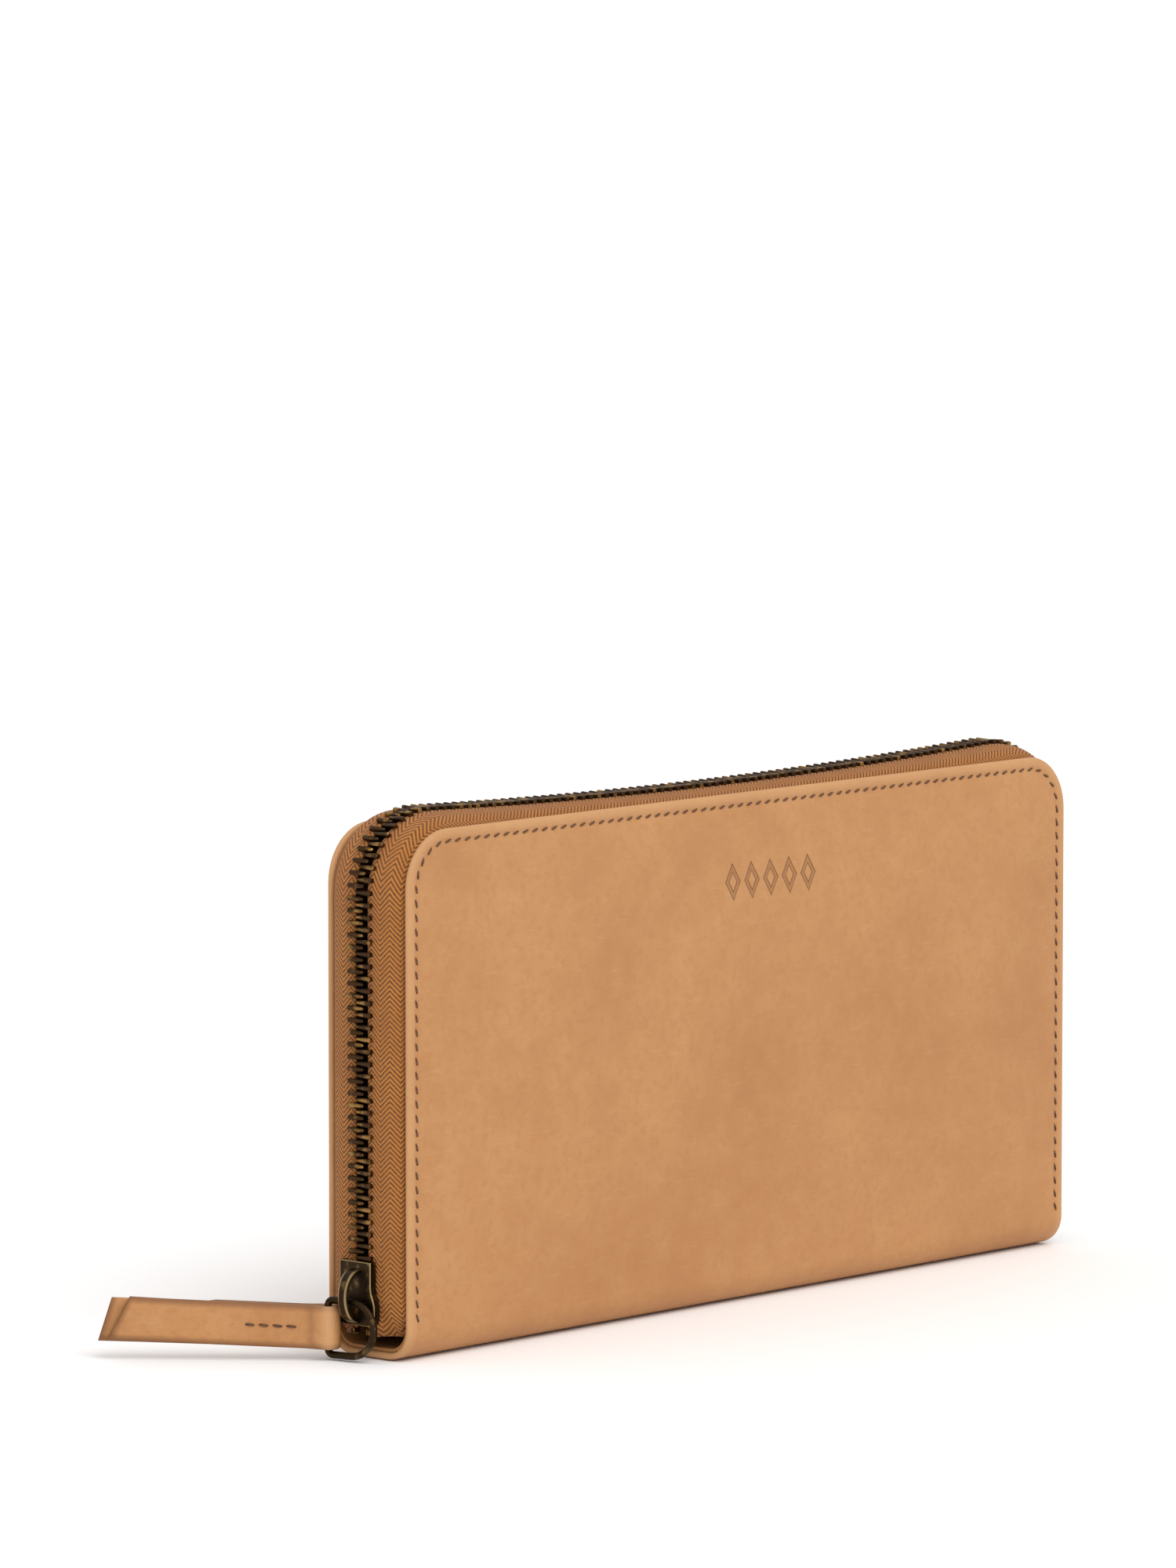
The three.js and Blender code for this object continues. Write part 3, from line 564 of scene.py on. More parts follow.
def surface_lift(x, z, inset):
    """How far the leather stands out from its flat place: the bulge, the puffed rim and the seam's valley."""
    beyond = inset - SEAM_INSET
    bulge = BULGE * ease((HALF_LENGTH - SEAM_INSET - abs(x)) / (42 * MM))
    bulge *= ease((TOP - SEAM_INSET - z) / (34 * MM)) * ease((z - FOLD) / (26 * MM))
    valley = -0.36 * MM * math.exp(-((beyond / (0.6 * MM)) ** 2))
    fade = ease((z - FOLD) / (5 * MM))
    return bulge + valley * fade


def cover_point(side, skin, x, z, inset):
    y = FRONT_Y - HIDE / 2 + surface_lift(x, z, inset) + skin * half_thickness(inset)
    return Vector((x, side * y, z))


def add_cover(bm, side, skin):
    rings = []
    for inset in INSETS:
        path = u_path(HALF_LENGTH - inset, TOP - inset, CORNER - inset, FOLD, SIDE_STEPS, ARC_STEPS, TOP_STEPS)
        rings.append([cover_point(side, skin, x, z, inset) for x, z, _, _ in path])
    add_grid(bm, rings)
    reach = HALF_LENGTH - CORNER
    rows = []
    for i in range(SIDE_STEPS + 1):
        z = FOLD + (TOP - CORNER - FOLD) * i / SIDE_STEPS
        xs = [-reach + 2 * reach * k / TOP_STEPS for k in range(TOP_STEPS + 1)]
        rows.append([cover_point(side, skin, x, z, CORNER) for x in xs])
    add_grid(bm, rows)


def spine_columns():
    reach = HALF_LENGTH - CORNER
    left = [(-HALF_LENGTH + e, e) for e in INSETS]
    middle = [(-reach + 2 * reach * k / TOP_STEPS, CORNER) for k in range(1, TOP_STEPS)]
    return left + middle + [(-x, e) for x, e in reversed(left)]


def add_spine(bm, skin):
    """The two folds and the flat foot between them."""
    middle = FRONT_Y - FOLD
    quarter = [k / 10 * math.pi / 2 for k in range(11)]
    turns = [(-middle, math.pi + turn) for turn in quarter]
    turns += [(middle * (2 * k / 6 - 1), math.pi * 1.5) for k in range(1, 6)]
    turns += [(middle, math.pi * 1.5 + turn) for turn in quarter]
    rows = []
    for centre_y, turn in turns:
        row = []
        for x, inset in spine_columns():
            radius = FOLD - HIDE / 2 + skin * half_thickness(inset)
            row.append(Vector((x, centre_y + radius * math.cos(turn), FOLD + radius * math.sin(turn))))
        rows.append(row)
    add_grid(bm, rows)


def mark_pale_rim_and_highlight(piece):
    """Stores 1 on the leather's rim, falling to 0 at two thirds of the way to the seam. It pales the rim: partly the
    leather's own paler folded edge, partly a painted highlight along it.
    """
    values = piece.data.attributes.new("pale_turn_and_highlight", "FLOAT", "POINT")
    for vertex, value in zip(piece.data.vertices, values.data):
        x, _, z = vertex.co
        from_side = HALF_LENGTH - abs(x)
        from_rim = min(from_side, TOP - z)
        if from_side < CORNER and TOP - z < CORNER:
            from_rim = CORNER - math.hypot(CORNER - from_side, CORNER - (TOP - z))
        value.value = max(0, 1 - from_rim / (2.4 * MM)) ** 0.6


def make_hide():
    bm = bmesh.new()
    for skin in (1, -1):
        for side, _ in SIDES:
            add_cover(bm, side, skin)
        add_spine(bm, skin)
    cut_pieces = ("front_cover_leather", "spine_leather", "back_cover_leather")
    piece = new_piece("hide", bm, HIDE_MATERIAL, None, *cut_pieces)
    mark_pale_rim_and_highlight(piece)
    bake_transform(piece)
    return piece


hide = make_hide()
print("hide", len(hide.data.vertices), "vertices")

# %% [markdown]
# ## Edge stitching
# A saddle stitch leaves short slanted threads, each sunk at both ends. Every stitch is one small arched capsule, placed
# at equal steps along the seam line and turned a little across it. They lie in the seam's valley.

# %% Stitches
STITCH_STEP = 2.7 * MM
STITCH_LENGTH = 1.9 * MM
THREAD_RADIUS = 0.24 * MM
STITCH_SLANT = math.radians(20)


def even_places(path, step, first=0.0):
    """Points at equal steps along a path of (x, z, outward x, outward z)."""
    places, due, walked = [], first, 0.0
    for (x0, z0, nx0, nz0), (x1, z1, nx1, nz1) in zip(path, path[1:]):
        length = math.hypot(x1 - x0, z1 - z0)
        while length > 0 and due <= walked + length:
            t = (due - walked) / length
            places.append((x0 + (x1 - x0) * t, z0 + (z1 - z0) * t, nx0 + (nx1 - nx0) * t, nz0 + (nz1 - nz0) * t))
            due += step
        walked += length
    return places


def make_edge_stitches(side, name):
    bm = bmesh.new()
    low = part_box(f"{name}_edge_stitching")[0].z
    path = u_path(HALF_LENGTH - SEAM_INSET, TOP - SEAM_INSET, CORNER - SEAM_INSET, low)
    for x, z, nx, nz in even_places(path, STITCH_STEP, STITCH_STEP / 2):
        out = Vector((nx, 0, nz)).normalized()
        along = Vector((out.z, 0, -out.x))
        way = along * math.cos(STITCH_SLANT) + out * math.sin(STITCH_SLANT)
        middle = cover_point(side, 1, x, z, SEAM_INSET)
        lift = Vector((0, side * 0.12 * MM, 0))
        half = way * STITCH_LENGTH / 2
        add_capsule(bm, middle - half, middle + half, THREAD_RADIUS, lift)
    return new_piece(f"{name}_edge_stitches", bm, SEAM_THREAD_MATERIAL, f"{name}_half", f"{name}_edge_stitching")


edge_stitches = [make_edge_stitches(side, name) for side, name in SIDES]
print("stitches", len(edge_stitches[0].data.polygons), "faces a side")

# %% [markdown]
# ## Zip tape
# Each half of the tape leaves from under the leather's edge, arches outwards and runs flat to the teeth. Its section
# is a quarter of an ellipse and a straight end, carried round the three open sides. Its texture coordinates
# are metres along and across the tape, so the herringbone keeps its size round the corners.

# %% Tape
tape_low, tape_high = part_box("front_zip_tape")
TAPE = 0.6 * MM
ARCH = 3.2 * MM  # how far the tape stands out from where it leaves the leather
ARCH_DEPTH = 5.1 * MM
FOOT_HALF = tape_high.x - ARCH
FOOT_TOP = tape_high.z - ARCH
FOOT_RADIUS = 11.8 * MM
FOOT_Y = -tape_low.y
CROWN_Y = FOOT_Y - ARCH_DEPTH
TAPE_END = tape_low.z
END_SINK = 2.4 * MM  # the sewn side of the tape is pulled into the fold at its ends


def tape_section():
    """(distance from the middle plane, outward offset) from the leather to the teeth."""
    arch = [(CROWN_Y + ARCH_DEPTH * c, ARCH * s) for c, s in arc(0, 0, 1, 0, math.pi / 2, 10)]
    return arch + [(CROWN_Y - 1.2 * MM, ARCH + 0.05 * MM), (1.7 * MM, ARCH + 0.05 * MM)]


def make_tape(side, name):
    outer = tape_section()
    path = sagged(u_path(FOOT_HALF, FOOT_TOP, FOOT_RADIUS, TAPE_END, 40, 14, 70), FOOT_TOP - 1 * MM)
    bm = bmesh.new()
    layer = bm.loops.layers.uv.new("tape")
    along = lengths([point[:2] for point in path])
    loop = [(y, o, v) for (y, o), v in zip(outer, lengths(outer))]
    loop += [(y - 0.2 * TAPE, o - TAPE, v) for y, o, v in reversed(loop)]
    rings, places = [], {}
    for i, (x, z, nx, nz) in enumerate(path):
        rings.append([])
        near_end = 1 - ease((z - TAPE_END) / (6 * MM))
        for y, o, v in loop:
            o -= END_SINK * near_end * ease((y - 4.2 * MM) / (2 * MM))
            foot = FOLD + 0.4 * MM if i in (0, len(path) - 1) and y > 7.7 * MM else z
            vertex = bm.verts.new((x + nx * o, side * y, foot + nz * o))
            rings[-1].append(vertex)
            places[vertex] = (along[i], v)
    skin_rings(bm, rings)
    close_ends(bm, rings)
    for face in bm.faces:
        for corner in face.loops:
            corner[layer].uv = places[corner.vert]
    return new_piece(f"{name}_tape", bm, TAPE_MATERIAL, f"{name}_half", f"{name}_zip_tape")


tapes = [make_tape(side, name) for side, name in SIDES]
print("tape", len(tapes[0].data.polygons), "faces a side")

# %% [markdown]
# ## Teeth
# A metal tooth is a small bar clamped round the tape's bead, with a narrower head that reaches past the middle. One
# tooth is modelled with bevelled edges and copied along the chain's line, half a pitch apart on the two sides.

# %% Teeth
chain_low, chain_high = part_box("front_zip_teeth_top")
TOOTH_PITCH = 2.3 * MM
TOOTH_HEIGHT = 2.6 * MM
CHAIN_HALF = chain_high.x - TOOTH_HEIGHT / 2
CHAIN_TOP = chain_high.z - TOOTH_HEIGHT / 2
CHAIN_RADIUS = 14.7 * MM
CHAIN_SHOULDER = CHAIN_TOP - CHAIN_RADIUS
ROOT_Y = -chain_low.y
TIP_Y = chain_high.y


def one_tooth():
    """A tooth with its length across the chain along Y, its tip towards +Y, and the outside of the wallet up."""
    bm = bmesh.new()
    bmesh.ops.create_cube(bm, size=1)
    length = ROOT_Y + TIP_Y
    bmesh.ops.scale(bm, verts=bm.verts, vec=(0.95 * MM, length, TOOTH_HEIGHT))
    bmesh.ops.translate(bm, verts=bm.verts, vec=(0, TIP_Y - length / 2, 0))
    for vertex in bm.verts:
        if vertex.co.y > 0:
            vertex.co.x *= 0.68
            vertex.co.z *= 0.8
    edges = list(bm.edges)
    bmesh.ops.bevel(bm, geom=edges, offset=0.2 * MM, segments=1, profile=0.5, affect="EDGES", material=-1)
    bm.verts.ensure_lookup_table()
    points = [v.co.copy() for v in bm.verts]
    faces = [[v.index for v in f.verts] for f in bm.faces]
    bm.free()
    return points, faces


def make_teeth():
    points, faces = one_tooth()
    chain = sagged(u_path(CHAIN_HALF, CHAIN_TOP, CHAIN_RADIUS, TAPE_END), CHAIN_TOP - 1 * MM)
    first = 5.4 * MM
    for side, name in SIDES:
        runs = {"left": bmesh.new(), "top": bmesh.new(), "right": bmesh.new()}
        start = first + (0 if side < 0 else TOOTH_PITCH / 2)
        for x, z, nx, nz in even_places(chain, TOOTH_PITCH, start):
            if z < TAPE_END + 2 * MM:
                continue
            run = "top" if z > CHAIN_SHOULDER else ("left" if x < 0 else "right")
            out = Vector((nx, 0, nz)).normalized()
            along = Vector((out.z, 0, -out.x))
            tip = Vector((0, -side, 0))
            verts = [
                runs[run].verts.new(Vector((x, 0, z)) + along * p.x * -side + tip * p.y + out * p.z)
                for p in points
            ]
            for face in faces:
                runs[run].faces.new([verts[k] for k in face])
        for run, bm in runs.items():
            node = f"{name}_zip_teeth_{run}"
            piece = new_piece(f"{name}_teeth_{run}", bm, TOOTH_MATERIAL, f"{name}_half", node, smooth=False)
            print(piece.name, len(piece.data.polygons), "faces")


make_teeth()

# %% [markdown]
# ## Zip slider
# A cast slider is two plates with turned-in sides, held apart by a wedge at its wide mouth, and a bridge for the
# pull on the outer plate. The plates and sides are extruded outlines with bevelled edges. The bridge is a flat
# strap carried along an arch.

# %% Slider
slider_low, slider_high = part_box("zip_slider_body")
SLIDER_X = -CHAIN_HALF
SLIDER_Z = slider_low.z
SLIDER_LENGTH = slider_high.z - slider_low.z
PLATE_IN, PLATE_OUT = 1.5 * MM, 2.3 * MM
NOSE_HALF, TAIL_HALF = 4.9 * MM, 3.9 * MM


def slider_half_width(z):
    """Half width of the plates at a height above the mouth: wide, then drawn in at the waist, then straight."""
    if z < 1.6 * MM:
        return NOSE_HALF - 1.6 * MM + math.sqrt(max(0, (1.6 * MM) ** 2 - (1.6 * MM - z) ** 2))
    t = min(max((z - 3.6 * MM) / (3.6 * MM), 0), 1)
    return NOSE_HALF + (TAIL_HALF - NOSE_HALF) * t * t * (3 - 2 * t)


def add_slab(bm, outline, low, high, bevel):
    """A closed slab between two distances out from the chain, from an outline of (across, up)."""
    points = [(SLIDER_X - low, y, SLIDER_Z + z) for y, z in outline]
    add_prism(bm, points, Vector((low - high, 0, 0)), bevel)


def make_slider():
    bm = bmesh.new()
    heights = [k / 22 * SLIDER_LENGTH for k in range(23)]
    heights = [0, 0.15 * MM, 0.5 * MM, 1 * MM] + [h for h in heights if h > 1.2 * MM]
    right_edge = [(slider_half_width(z), z) for z in heights]
    whole = right_edge + [(-y, z) for y, z in reversed(right_edge)]
    add_slab(bm, whole, PLATE_IN, PLATE_OUT, 0.2 * MM)
    add_slab(bm, whole, -PLATE_OUT, -PLATE_IN, 0.25 * MM)
    for side in (1, -1):
        wall = [(side * (y - 0.8 * MM), z) for y, z in reversed(right_edge)]
        flange = [(side * y, z) for y, z in right_edge] + wall
        add_slab(bm, flange, 0.65 * MM, PLATE_OUT - 0.1 * MM, 0.12 * MM)
        add_slab(bm, flange, -PLATE_OUT + 0.1 * MM, -0.65 * MM, 0.12 * MM)
    wedge = [(y * MM, z * MM) for y, z in ((-0.9, 0.5), (0.9, 0.5), (0.9, 1.6), (0, 2.8), (-0.9, 1.6))]
    add_slab(bm, wedge, -PLATE_OUT + 0.2 * MM, PLATE_OUT - 0.2 * MM, 0.1 * MM)
    return bm


def arch_points(count, foot_low, foot_high, rise):
    """An arch beside the outer plate, as (outward, up, tangent outward, tangent up)."""
    points = []
    for k in range(count + 1):
        t = k / count
        a, b, c, d = (1 - t) ** 3, 3 * (1 - t) ** 2 * t, 3 * (1 - t) * t * t, t**3
        reach = (b + c) * rise
        z = (a + b) * foot_low + (c + d) * foot_high
        slope = (3 * (1 - t) ** 2 - 3 * t * t) * rise
        climb = 6 * (1 - t) * t * (foot_high - foot_low)
        size = math.hypot(slope, climb)
        points.append((reach, z, slope / size, climb / size))
    return points


def add_bridge(bm):
    half_width, thick = 1.35 * MM, 0.45 * MM
    section = [(-1, -0.6), (-0.6, -1), (0.6, -1), (1, -0.6), (1, 0.6), (0.6, 1), (-0.6, 1), (-1, 0.6)]
    rings = []
    for reach, z, out, climb in arch_points(20, 0.9 * MM, 10.3 * MM, 4.75 * MM):
        middle = Vector((SLIDER_X - PLATE_OUT + 0.25 * MM - reach, 0, SLIDER_Z + z))
        normal = Vector((-climb, 0, -out))
        pinch = 1 - 0.22 * math.sin(math.pi * (z / (11 * MM)))
        rings.append([
            bm.verts.new(middle + Vector((0, half_width * pinch * u, 0)) + normal * thick * v) for u, v in section
        ])
    skin_rings(bm, rings)
    bm.faces.new(rings[0])
    bm.faces.new(rings[-1][::-1])


slider_mesh = make_slider()
plate_faces = len(slider_mesh.faces)
add_bridge(slider_mesh)
slider = new_piece("slider", slider_mesh, BRASS_MATERIAL, "zip_slider", "zip_slider_body", smooth=False)
worn_edge = slider.data.attributes.new("worn_edge", "FLOAT", "FACE")
for face, value in zip(slider.data.polygons, worn_edge.data):
    across = face.normal.x if face.index < plate_faces else face.normal.y
    value.value = float(0.25 < abs(across) < 0.95)
print("slider", len(slider.data.polygons), "faces")

# %% [markdown]
# ## D-ring
# Round wire bent to a half circle with a straight bar. The bar's corners are tight but rounded, as bent wire is. Its
# plane comes from the line between the ring's pivot and the tab's.

# %% Ring
WIRE = 0.7 * MM
RING_RADIUS = 5.2 * MM
hang = hinge_point("ring_swing")
bar = hinge_point("tab_swivel")
ring_way = Vector((hang.x - bar.x, hang.y - bar.y, 0)).normalized()  # from the bar to the arc
ring_middle_z = bar.z


def ring_outline():
    """The wire's centre line as (along the ring's plane from the bar, up), once round."""
    arm, bend = 5 * MM, 1.1 * MM
    quarter = math.pi / 2
    half = arc(arm, 0, RING_RADIUS, quarter, -2 * quarter, 24) + [(arm / 2, -RING_RADIUS)]
    foot = arc(bend, -RING_RADIUS + bend, bend, -quarter, -quarter, 6)
    head = arc(bend, RING_RADIUS - bend, bend, 2 * quarter, -quarter, 6)
    return half + foot + [(0, z * MM) for z in (-2, 0, 2)] + head + [(arm / 2, RING_RADIUS)]


def make_ring():
    outline = ring_outline()
    centres = [Vector((bar.x, bar.y, ring_middle_z)) + ring_way * u + Vector((0, 0, v)) for u, v in outline]
    side = ring_way.cross(Vector((0, 0, 1)))
    frames = []
    for k, centre in enumerate(centres):
        tangent = (centres[(k + 1) % len(centres)] - centres[k - 1]).normalized()
        frames.append((centre, side, tangent.cross(side)))
    section = arc(0, 0, WIRE, 0, 2 * math.pi, 12)[:-1]
    return new_piece("ring", sweep(frames, section, closed=True), BRASS_MATERIAL, "d_ring", "d_ring")


ring = make_ring()
print("ring", len(ring.data.polygons), "faces")

# %% [markdown]
# ## Pull tab
# One strip of leather, folded round the ring's bar and held by a few stitches. A rounded rectangle is carried along
# the strip's middle line. At the two ends the section leans, which cuts them on a slant, and the strip rises
# slightly as it leaves the ring.

# %% Tab
TAB_WIDTH = 8.2 * MM
TAB_TURN = math.radians(131.7)
TAB_RISE = math.tan(math.radians(2.6))
FRONT_LAYER, BACK_LAYER = 39.4 * MM, 42 * MM
tab_way = Vector((math.cos(TAB_TURN), math.sin(TAB_TURN), 0))
tab_side = Vector((-tab_way.y, tab_way.x, 0))  # out of the layer that faces the front
LOOP = 1.65 * MM  # from the bar's axis to the strip's middle line
TAB_NECK = 4.6 * MM  # the layers meet this far from the bar


def tab_line():
    """The strip's middle line as (along the tab, sideways), from the front layer's end round the bar to the back's."""
    steps = 26

    def layer(length, rest, belly, side):
        """From the loop to the layer's end: the loop's half width eases down to where the layer rests."""
        points = []
        for k in range(1, steps + 1):
            a = length * k / steps
            spread = 0.5 - 0.5 * math.cos(math.pi * min(a / TAB_NECK, 1))
            points.append((a, side * (LOOP + (rest - LOOP) * spread + belly * math.sin(math.pi * a / length))))
        return points

    front = layer(FRONT_LAYER, 0.68 * MM, 0.25 * MM, 1)
    back_layer = layer(BACK_LAYER, 0.72 * MM, -0.1 * MM, -1)
    return front[::-1] + arc(0, 0, LOOP, math.pi / 2, math.pi, 12) + back_layer


def make_tab():
    line = tab_line()
    half, thick, cut = TAB_WIDTH / 2, HIDE / 2, 0.3 * MM
    edge = [(thick - cut, -half), (thick - 0.1 * MM, -half + 0.12 * MM), (thick, -half + cut)]
    edge += [(thick, half * k / 3) for k in (-2, -1, 0, 1, 2)]
    edge += [(thick, half - cut), (thick - 0.1 * MM, half - 0.12 * MM), (thick - cut, half)]
    section = edge + [(-u, v) for u, v in reversed(edge)]
    ends = (0, len(line) - 1)
    frames, walked = [], lengths(line)
    for k, (a, b) in enumerate(line):
        before, after = line[max(k - 1, 0)], line[min(k + 1, len(line) - 1)]
        way = (tab_way * (after[0] - before[0]) + tab_side * (after[1] - before[1])).normalized()
        centre = Vector((bar.x, bar.y, bar.z + TAB_RISE * max(a, 0))) + tab_way * a + tab_side * b
        lean_front = 0.53 * max(0, 1 - walked[k] / (9 * MM))
        lean_back = -0.32 * max(0, 1 - (walked[-1] - walked[k]) / (9 * MM))
        if a > BACK_LAYER / 2 and k > len(line) / 2:
            centre.z -= 0.5 * MM * (a / BACK_LAYER)
        frames.append((centre, Vector((0, 0, 1)).cross(way), Vector((0, 0, 1)) + way * (lean_front + lean_back)))
    bm = sweep(frames, section)
    piece = new_piece("tab", bm, TAB_MATERIAL, "pull_tab", "pull_tab_leather")
    # Painted light on the tab: the first attribute darkens the cut ends and the long edges, partly as burnishing and
    # partly as painted shade, and adds painted shade in a band where the layers close towards the loop; the second is a
    # painted highlight round the fold at the bar.
    burnish_and_shade = piece.data.attributes.new("burnish_and_shade", "FLOAT", "POINT")
    fold_highlight = piece.data.attributes.new("pale_turn_and_highlight", "FLOAT", "POINT")
    for k, (vertex, burnish_shade, wear_and_highlight) in enumerate(zip(piece.data.vertices, burnish_and_shade.data, fold_highlight.data)):
        a = (vertex.co - bar).dot(tab_way)
        middle_z = bar.z + TAB_RISE * max(a, 0)
        at_end = k // len(section) in ends
        # A band of painted shade before the fold.
        crease_shade = 0.45 * math.exp(-(((a - 3.2 * MM) / (0.9 * MM)) ** 2))
        burnish_shade.value = 1.0 if at_end or abs(vertex.co.z - middle_z) > half - 0.35 * MM else crease_shade
        # A painted highlight round the fold at the bar.
        wear_and_highlight.value = 1.3 * max(0, 1 - abs(a + 0.2 * MM) / (2.2 * MM))
    return piece


def make_tab_stitches(name, sideways, node):
    bm = bmesh.new()
    first, step, count = 6.9 * MM, 2.6 * MM, 4
    for k in range(count):
        a = first + step * k
        middle = Vector((bar.x, bar.y, bar.z + TAB_RISE * a)) + tab_way * a + tab_side * sideways
        half = (tab_way + Vector((0, 0, 0.12))) * 0.95 * MM
        add_capsule(bm, middle - half, middle + half, 0.28 * MM, tab_side * math.copysign(0.1 * MM, sideways))
    return new_piece(name, bm, SEAM_THREAD_MATERIAL, "pull_tab", node)


tab = make_tab()
make_tab_stitches("tab_stitches_front", 1.5 * MM, "pull_tab_stitching_inner")
make_tab_stitches("tab_stitches_back", -1.42 * MM, "pull_tab_stitching_outer")
print("tab", len(tab.data.polygons), "faces")

# %% [markdown]
# ## Linings, card slots and coin pocket walls
# These are flat cut panels of thin leather. Each takes its size from its CAD solid: an outline with rounded corners,
# extruded and bevelled so that its edges look cut and burnished rather than razor sharp.

# %% Flat panels
def rounded_outline(low, high, radius_low, radius_high):
    """Corner points in X and Z, from the lower left corner round."""
    corners = [
        (low.x + radius_low, low.z + radius_low, radius_low, math.pi),
        (high.x - radius_low, low.z + radius_low, radius_low, math.pi * 1.5),
        (high.x - radius_high, high.z - radius_high, radius_high, 0),
        (low.x + radius_high, high.z - radius_high, radius_high, math.pi / 2),
    ]
    return [point for corner in corners for point in arc(*corner, math.pi / 2, 6)]


def make_panel(name, node, body, radius_high):
    low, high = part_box(node)
    bm = bmesh.new()
    outline = [(x, low.y, z) for x, z in rounded_outline(low, high, 1 * MM, radius_high)]
    add_prism(bm, outline, Vector((0, high.y - low.y, 0)), 0.35 * (high.y - low.y))
    return new_piece(name, bm, LINING_MATERIAL, body, node, smooth=False)


def make_slot_stitches(side, name):
    """The seam down the middle that parts the two columns of cards."""
    low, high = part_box(f"{name}_card_slot_stitching")
    bm = bmesh.new()
    step = 2.8 * MM
    count = int((high.z - low.z) / step)
    y = low.y if side > 0 else high.y
    for k in range(count):
        z = low.z + (k + 0.5) * step
        half = Vector((0.12 * MM, 0, 1.05 * MM))
        middle = Vector((0, y + side * 0.12 * MM, z))
        add_capsule(bm, middle - half, middle + half, 0.16 * MM, Vector((0, -side * 0.04 * MM, 0)))
    new_piece(f"{name}_slot_stitches", bm, THREAD_MATERIAL, f"{name}_half", f"{name}_card_slot_stitching")


for side, name in SIDES:
    half = f"{name}_half"
    make_panel(f"{name}_lining_panel", f"{name}_lining", half, 11 * MM)
    for k in range(1, 5):
        make_panel(f"{name}_slot_{k}", f"{name}_card_slot_{k}", half, 3 * MM)
    make_slot_stitches(side, name)
    make_panel(f"coin_wall_{name}", f"coin_pocket_{name}_wall", "coin_pocket", 2 * MM)

# %% [markdown]
# ## Spine lining and gussets
# The lining follows the inside of the spine's fold. Each gusset is one strip of cloth folded in sharp pleats between
# the two linings.

# %% Spine lining
def make_spine_lining():
    low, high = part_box("spine_lining")
    middle = FRONT_Y - FOLD
    outer = high.y - middle

    def curve(radius):
        fold = arc(middle, FOLD, radius, math.pi * 1.5, math.pi / 2, 10)
        return [(-y, z) for y, z in reversed(fold)] + fold

    section = curve(outer) + curve(outer - 0.6 * MM)[::-1]
    axes = (Vector((0, 1, 0)), Vector((0, 0, 1)))
    frames = [(Vector((x, 0, 0)), *axes) for x in (low.x, low.x / 2, 0, high.x / 2, high.x)]
    bm = sweep(frames, section)
    new_piece("spine_lining_strip", bm, LINING_MATERIAL, "back_half", "spine_lining", smooth=False)


make_spine_lining()


# %% Gussets
def make_gusset(node):
    low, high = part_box(node)
    end = 1 if low.x > 0 else -1
    cloth_thickness = 0.35 * MM
    outer = max(abs(low.x), abs(high.x)) - cloth_thickness / 2
    inner = min(abs(low.x), abs(high.x)) + cloth_thickness / 2
    folds, per_fold = 6, 8
    line = []
    for k in range(folds * per_fold + 1):
        t = k / per_fold
        wave = 0.5 + 0.5 * math.cos(math.pi * t)
        line.append((inner + (outer - inner) * wave, low.y + (high.y - low.y) * t / folds))
    skins = [[], []]
    for k, (x, y) in enumerate(line):
        (x0, y0), (x1, y1) = line[max(k - 1, 0)], line[min(k + 1, len(line) - 1)]
        half = cloth_thickness / 2 / math.hypot(x1 - x0, y1 - y0)
        slack = math.sin(math.pi * k / (len(line) - 1))  # none at the two sewn ends
        for skin, way in zip(skins, (half, -half)):
            skin.append((x + (y1 - y0) * way, y - (x1 - x0) * way, slack))
    bm = bmesh.new()
    rings, rows = [], 30
    for i in range(rows + 1):
        z = low.z + (high.z - low.z) * i / rows
        ripple = 0.25 * MM * math.sin(z / (9 * MM))
        section = skins[0] + skins[1][::-1]
        rings.append([bm.verts.new((end * (x + ripple * slack), y, z)) for x, y, slack in section])
    skin_rings(bm, rings)
    close_ends(bm, rings)
    piece = new_piece(node + "_pleats", bm, CLOTH_MATERIAL, None, node)
    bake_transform(piece)


make_gusset("left_gusset")
make_gusset("right_gusset")

# %% [markdown]
# ## Coin pocket zip
# A nylon coil zip: each row is a line of small arched loops sewn along the tape. Every loop is one short capsule across
# the tape. The rows meet in the middle, half a step apart.

# %% Coils
def make_coil(side, name):
    node = f"coin_zip_coil_{name}"
    low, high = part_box(node)
    pitch = 1.3 * MM
    bm = bmesh.new()
    count = int((high.x - low.x) / pitch) - 1
    z = (low.z + high.z) / 2 - 0.1 * MM
    for k in range(count):
        x = low.x + (k + (0.5 if side < 0 else 1)) * pitch
        near = Vector((x, side * -0.1 * MM, z))
        far = Vector((x, side * 1.55 * MM, z))
        add_capsule(bm, near, far, 0.33 * MM, Vector((0, 0, 0.3 * MM)), sides=5)
    new_piece(f"coin_coil_{name}", bm, COIL_MATERIAL, "coin_pocket", node)


for side, name in SIDES:
    make_coil(side, name)


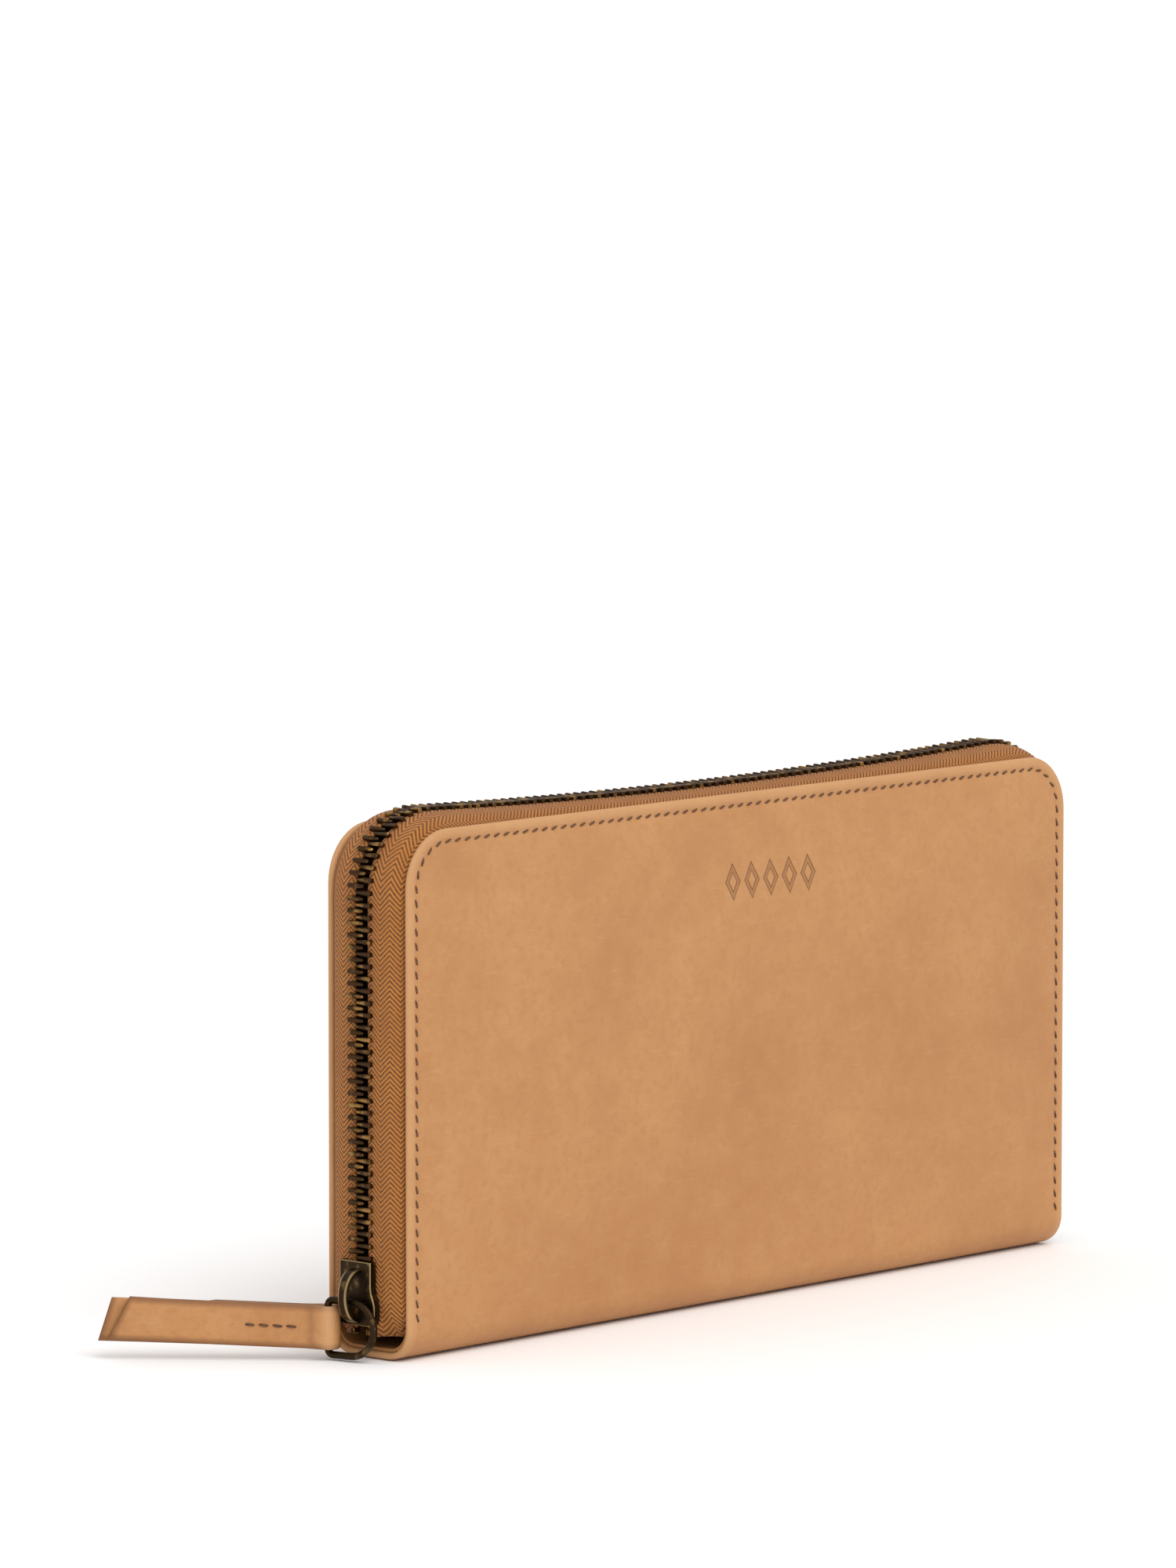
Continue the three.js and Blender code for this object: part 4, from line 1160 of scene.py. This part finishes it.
# %% Coin tapes and edge strip
def make_coin_tape(side, name):
    """A tape that lies flat at the pocket's mouth and turns down over the wall's outside, where it is sewn."""
    node = f"coin_zip_tape_{name}"
    low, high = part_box(node)
    edge = min(abs(low.y), abs(high.y))
    outside = max(abs(low.y), abs(high.y))
    thick, bend = 0.4 * MM, 0.7 * MM
    line = [(edge, high.z), (outside - bend, high.z)]
    line += arc(outside - bend, high.z - bend, bend, math.pi / 2, -math.pi / 2, 6)[1:-1]
    line += [(outside, high.z - bend), (outside, (low.z + high.z) / 2), (outside, low.z)]
    inner = [(min(y, outside - thick), min(z, high.z - thick)) for y, z in line]
    axes = (Vector((0, side, 0)), Vector((0, 0, 1)))
    steps = 40
    frames = [(Vector((low.x + (high.x - low.x) * k / steps, 0, 0)), *axes) for k in range(steps + 1)]
    bm = sweep(frames, line + inner[::-1])
    piece = new_piece(f"coin_tape_{name}", bm, TAPE_MATERIAL, "coin_pocket", node, smooth=False)
    layer = piece.data.uv_layers.new(name="tape")
    for corner in piece.data.loops:
        co = piece.data.vertices[corner.vertex_index].co
        layer.data[corner.index].uv = (co.x, abs(co.y) + high.z - co.z)


def make_edge_strip():
    """The cloth strip that joins the pocket's walls at its bottom and ends, folded inwards along its middle."""
    low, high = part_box("coin_pocket_edge_strip")
    half, thick = high.y, 0.4 * MM
    reach, floor = high.x - thick, low.z + thick
    upside_down = u_path(reach, -floor, 1.5 * MM, -high.z, 12, 6, 30)
    path = [(x, -z, nx, -nz) for x, z, nx, nz in upside_down]
    frames = [(Vector((x, 0, z)), Vector((0, 1, 0)), Vector((nx, 0, nz))) for x, z, nx, nz in path]
    across = (-1, -0.7, -0.4, -0.15, 0, 0.15, 0.4, 0.7, 1)
    fold = [(u * half, (0.9 - 1.1 * (1 - abs(u)) ** 0.8) * thick) for u in across]
    section = fold + [(u, v - 0.9 * thick) for u, v in reversed(fold)]
    bm = sweep(frames, section)
    new_piece("coin_edge_strip", bm, CLOTH_MATERIAL, "coin_pocket", "coin_pocket_edge_strip", smooth=False)


for side, name in SIDES:
    make_coin_tape(side, name)
make_edge_strip()


# %% Coin slider, its pull and the end stops
def make_coin_slider():
    low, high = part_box("coin_slider_body")
    middle = Vector(((low.x + high.x) / 2, 0, low.z + 1.4 * MM))
    bm = bmesh.new()

    def prism(points, push, bevel=0.12):
        placed = [middle + Vector(p) * MM for p in points]
        add_prism(bm, placed, Vector(push) * MM, bevel * MM)

    side = [(-4, -1.9), (-3.2, -2.75), (1, -2.75), (3, -2.2), (4, -1.9)]
    outline = side + [(x, -y) for x, y in reversed(side)]
    prism([(x, y, -1.4) for x, y in outline], (0, 0, 0.7))
    prism([(x, y, 1.1) for x, y in outline], (0, 0, 0.8), 0.2)
    for end in (1, -1):
        wall = [(-3, 2.3), (1, 2.3), (1, 2.7), (-3, 2.7)]
        prism([(x, end * y, -0.75) for x, y in wall], (0, 0, 0.5), 0.08)
        prism([(x, end * y, 0.65) for x, y in wall], (0, 0, 0.5), 0.08)
    prism([(-3.2, -0.5, -1), (-1.6, -0.5, -1), (-1.6, 0.5, -1), (-3.2, 0.5, -1)], (0, 0, 2.3), 0.1)
    arch = [(-3, 1.7), (-2.75, 3.6), (-2.2, 4.25), (2.2, 4.25), (2.75, 3.6), (3, 1.7)]
    arch += [(1.9, 1.7), (1.6, 3.4), (-1.6, 3.4), (-1.9, 1.7)]
    prism([(x, -0.7, z) for x, z in arch], (0, 1.4, 0), 0.15)
    new_piece("coin_slider", bm, BRASS_MATERIAL, "coin_slider", "coin_slider_body", smooth=False)


def make_coin_pull():
    hinge = hinge_point("coin_pull_swing")
    bm = bmesh.new()

    def plate(points, bevel=0.14):
        placed = [hinge + Vector((x, y, -0.38)) * MM for x, y in points]
        add_prism(bm, placed, Vector((0, 0, 0.76 * MM)), bevel * MM)

    tip = arc(13.9, 0, 1.5, -math.pi / 2, math.pi, 10)
    plate([(4.2, -1.8)] + tip + [(4.2, 1.8)])
    for side in (1, -1):
        plate([(-0.4, side * 1.15), (4.4, side * 1.15), (4.4, side * 1.82), (-0.4, side * 1.95)])
    plate([(-0.4, -1.3), (0.4, -1.3), (0.4, 1.3), (-0.4, 1.3)])
    new_piece("coin_pull", bm, BRASS_MATERIAL, "coin_puller", "coin_slider_pull", smooth=False)


def make_stop(node, body):
    low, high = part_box(node)
    bm = bmesh.new()
    outline = [(low.x, low.y, low.z), (high.x, low.y, low.z), (high.x, low.y, high.z), (low.x, low.y, high.z)]
    add_prism(bm, outline, Vector((0, high.y - low.y, 0)), 0.2 * MM)
    new_piece(node + "_bead", bm, TOOTH_MATERIAL, body, node, smooth=False)


make_coin_slider()
make_coin_pull()
make_stop("front_zip_top_stop", "front_half")
for node in ("back_zip_top_stop", "zip_bottom_stop"):
    make_stop(node, "back_half")
for node in ("coin_zip_stop_left", "coin_zip_stop_right"):
    make_stop(node, "coin_pocket")

# %% Finishes of the CAD solids that stay visible
for subpart in frame["record"]["subparts"]:
    cad_mesh = nodes[subpart["node"]].data
    cad_mesh.materials.clear()
    cad_mesh.materials.append(FINISHES[subpart["material_slot"]][0])
print("CAD solids still shown", sorted(n for n, o in nodes.items() if not o.hide_render))
